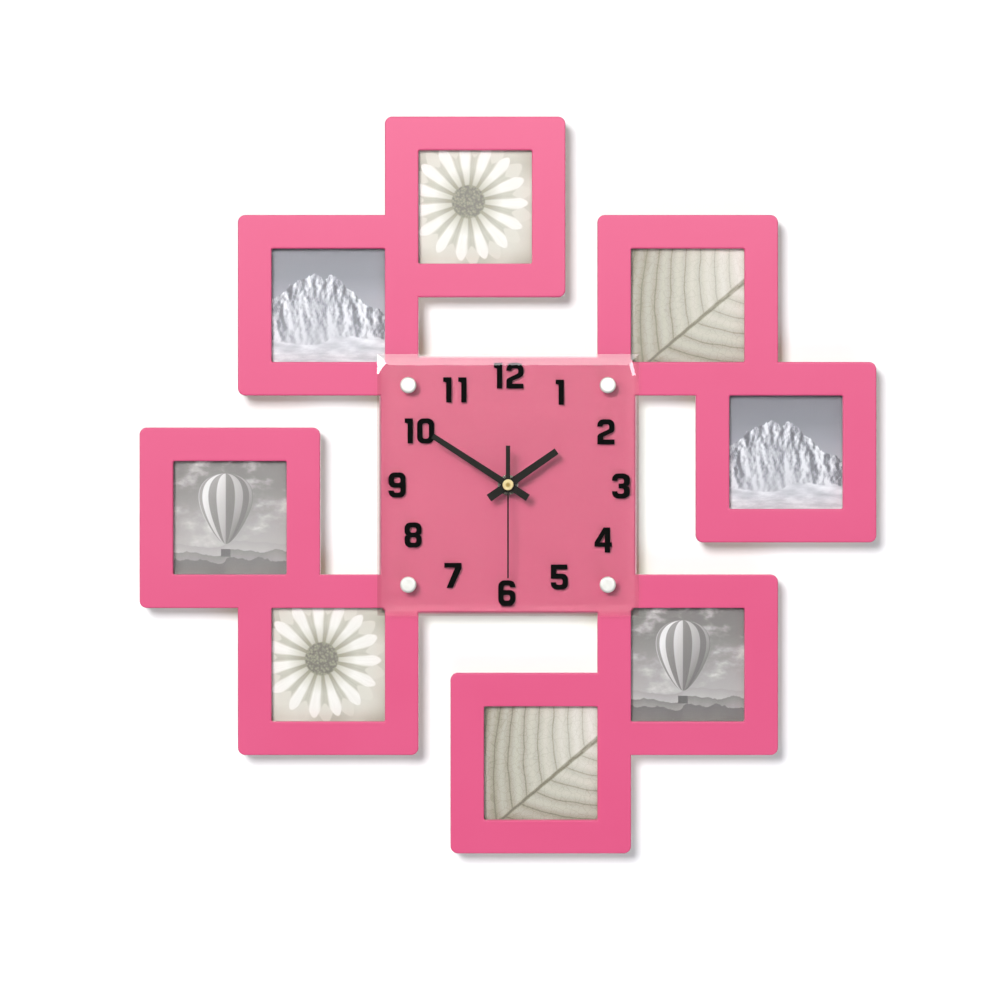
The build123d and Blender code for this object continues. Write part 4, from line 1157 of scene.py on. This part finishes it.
@dataclass
class Studio:
    """The white wall, the lamps, the light of the room and the camera.

    The wall, the bounces and the camera's distance are in metres. The camera's aim across and up, the
    width that it sees, the depth of the plane where it sees it, and its sensor are in millimetres.
    """

    paint: Finish = WallPaint("smooth white wall paint", "#f4f4f4", 0.9, specular=0.0)
    wall_size: float = 6.0
    wall_place: float = 0.0006
    distance: float = 3.0
    aim: Point = (-5.4, -10.2)
    view_width: float = 678.4
    view_plane: float = -21.0
    sensor: float = 36.0
    room: float = 0.1
    backdrop: float = 0.8
    through_glass: float = 0.5
    gloss_turns: float = 2.5
    bounce_size: Point = (0.06, 0.06)
    bounce_reach: float = 2.0
    bounce_gap: float = 0.03
    bounce_power: float = 6.0

    def wall(self) -> None:
        """Hangs the clock on a plain white wall."""
        half = 0.5 * self.wall_size
        mesh = bpy.data.meshes.new("wall")
        corners = [(-half, self.wall_place, -half), (half, self.wall_place, -half),
                   (half, self.wall_place, half), (-half, self.wall_place, half)]
        mesh.from_pydata(corners, [], [(0, 1, 2, 3)])
        mesh.materials.append(self.paint.material())
        wall = bpy.data.objects.new("wall", mesh)
        wall.visible_shadow = False
        wall.visible_glossy = False
        wall.visible_diffuse = False
        bpy.context.scene.collection.objects.link(wall)

    def lamps(self) -> list[Lamp]:
        """Chooses the lamps.

        Returns:
            The main lights, four weak bounces close to the wall, the two glints in the bevels, and
            a lamp behind the wall for views from there.
        """
        sides = {"left": (-1.0, 0.0), "right": (1.0, 0.0), "low": (0.0, -1.0), "high": (0.0, 1.0)}
        bounces = [Lamp(f"{side}_bounce", (self.bounce_reach * x, -self.bounce_gap, self.bounce_reach * z),
                        self.bounce_size, self.bounce_power) for side, (x, z) in sides.items()]
        return [
            Lamp("key", (-1.54, -5.46, 1.61), (1.82, 1.82), 335.0),
            Lamp("fill", (0.8, -1.7, -1.9), (2.6, 2.0), 36.0, colour="#ecf1ff"),
            Lamp("overhead", (0.3, -1.5, 0.8), (3.0, 0.8), 52.0, LampUse.GLOSS),
            *bounces,
            Lamp("left_glint", (-1.271, -1.666, 0.258), (0.4, 0.4), 14.0, LampUse.GLOSS, 53.4),
            Lamp("right_glint", (1.143, -1.75, 0.139), (0.004, 0.016), 0.0026, LampUse.GLOSS, 13.0),
            Lamp("behind", (0.3, 1.8, 0.9), (3.0, 3.0), 60.0, LampUse.BOTH),
        ]

    def room_light(self) -> None:
        """Lights the room, brighter as the backdrop and for light that has passed the glass.

        The background counts one turn more than a ray has made, so the gloss turns tell a first
        reflection from one that has been in the glass.
        """
        world = bpy.data.worlds.new("room")
        world.use_nodes = True
        tree = world.node_tree
        seen = add(tree, "LightPath", out="Is Camera Ray")
        path = seen.node.outputs
        deep = add(tree, "Math", {0: path["Ray Depth"], 1: self.gloss_turns}, operation="GREATER_THAN")
        deep = add(tree, "Math", {0: deep, 1: path["Is Glossy Ray"]}, operation="MULTIPLY")
        through = add(tree, "Math", {0: deep, 1: path["Is Transmission Ray"]}, operation="MAXIMUM")
        seen = add(tree, "Math", {0: through, 1: self.through_glass, 2: seen}, operation="MULTIPLY_ADD")
        glow = add(tree, "MapRange", {"Value": seen, "To Min": self.room, "To Max": self.backdrop})
        background = tree.nodes["Background"]
        background.inputs["Color"].default_value = (1.0, 1.0, 1.0, 1.0)
        join(tree, glow, background, "Strength")
        bpy.context.scene.world = world

    def camera(self) -> None:
        """Sets the camera square to the clock, as the photograph was taken."""
        data = bpy.data.cameras.new("camera")
        data.sensor_width = self.sensor
        data.lens = self.sensor * (self.distance + self.view_plane * MM) / (self.view_width * MM)
        camera = bpy.data.objects.new("camera", data)
        camera.location = (self.aim[0] * MM, -self.distance, self.aim[1] * MM)
        camera.rotation_euler = (math.radians(90.0), 0.0, 0.0)
        bpy.context.scene.collection.objects.link(camera)
        bpy.context.scene.camera = camera

    def build(self) -> None:
        """Sets the wall, the lamps, the light of the room and the camera."""
        self.wall()
        for lamp in self.lamps():
            lamp.hang()
            log.info("hung the lamp %s", lamp.name)
        self.room_light()
        bpy.context.scene.view_settings.view_transform = "Standard"
        self.camera()
        log.info("set the studio")


def main() -> None:
    """Builds and dresses the clock, then sets the studio."""
    logging.basicConfig(level=logging.INFO, format="%(message)s")
    for assembly in (FrameBoard(), Pictures(), GlassDial(), Numerals(), Hands(), Movement(), Studio()):
        assembly.build()


if __name__ == "__main__":
    main()
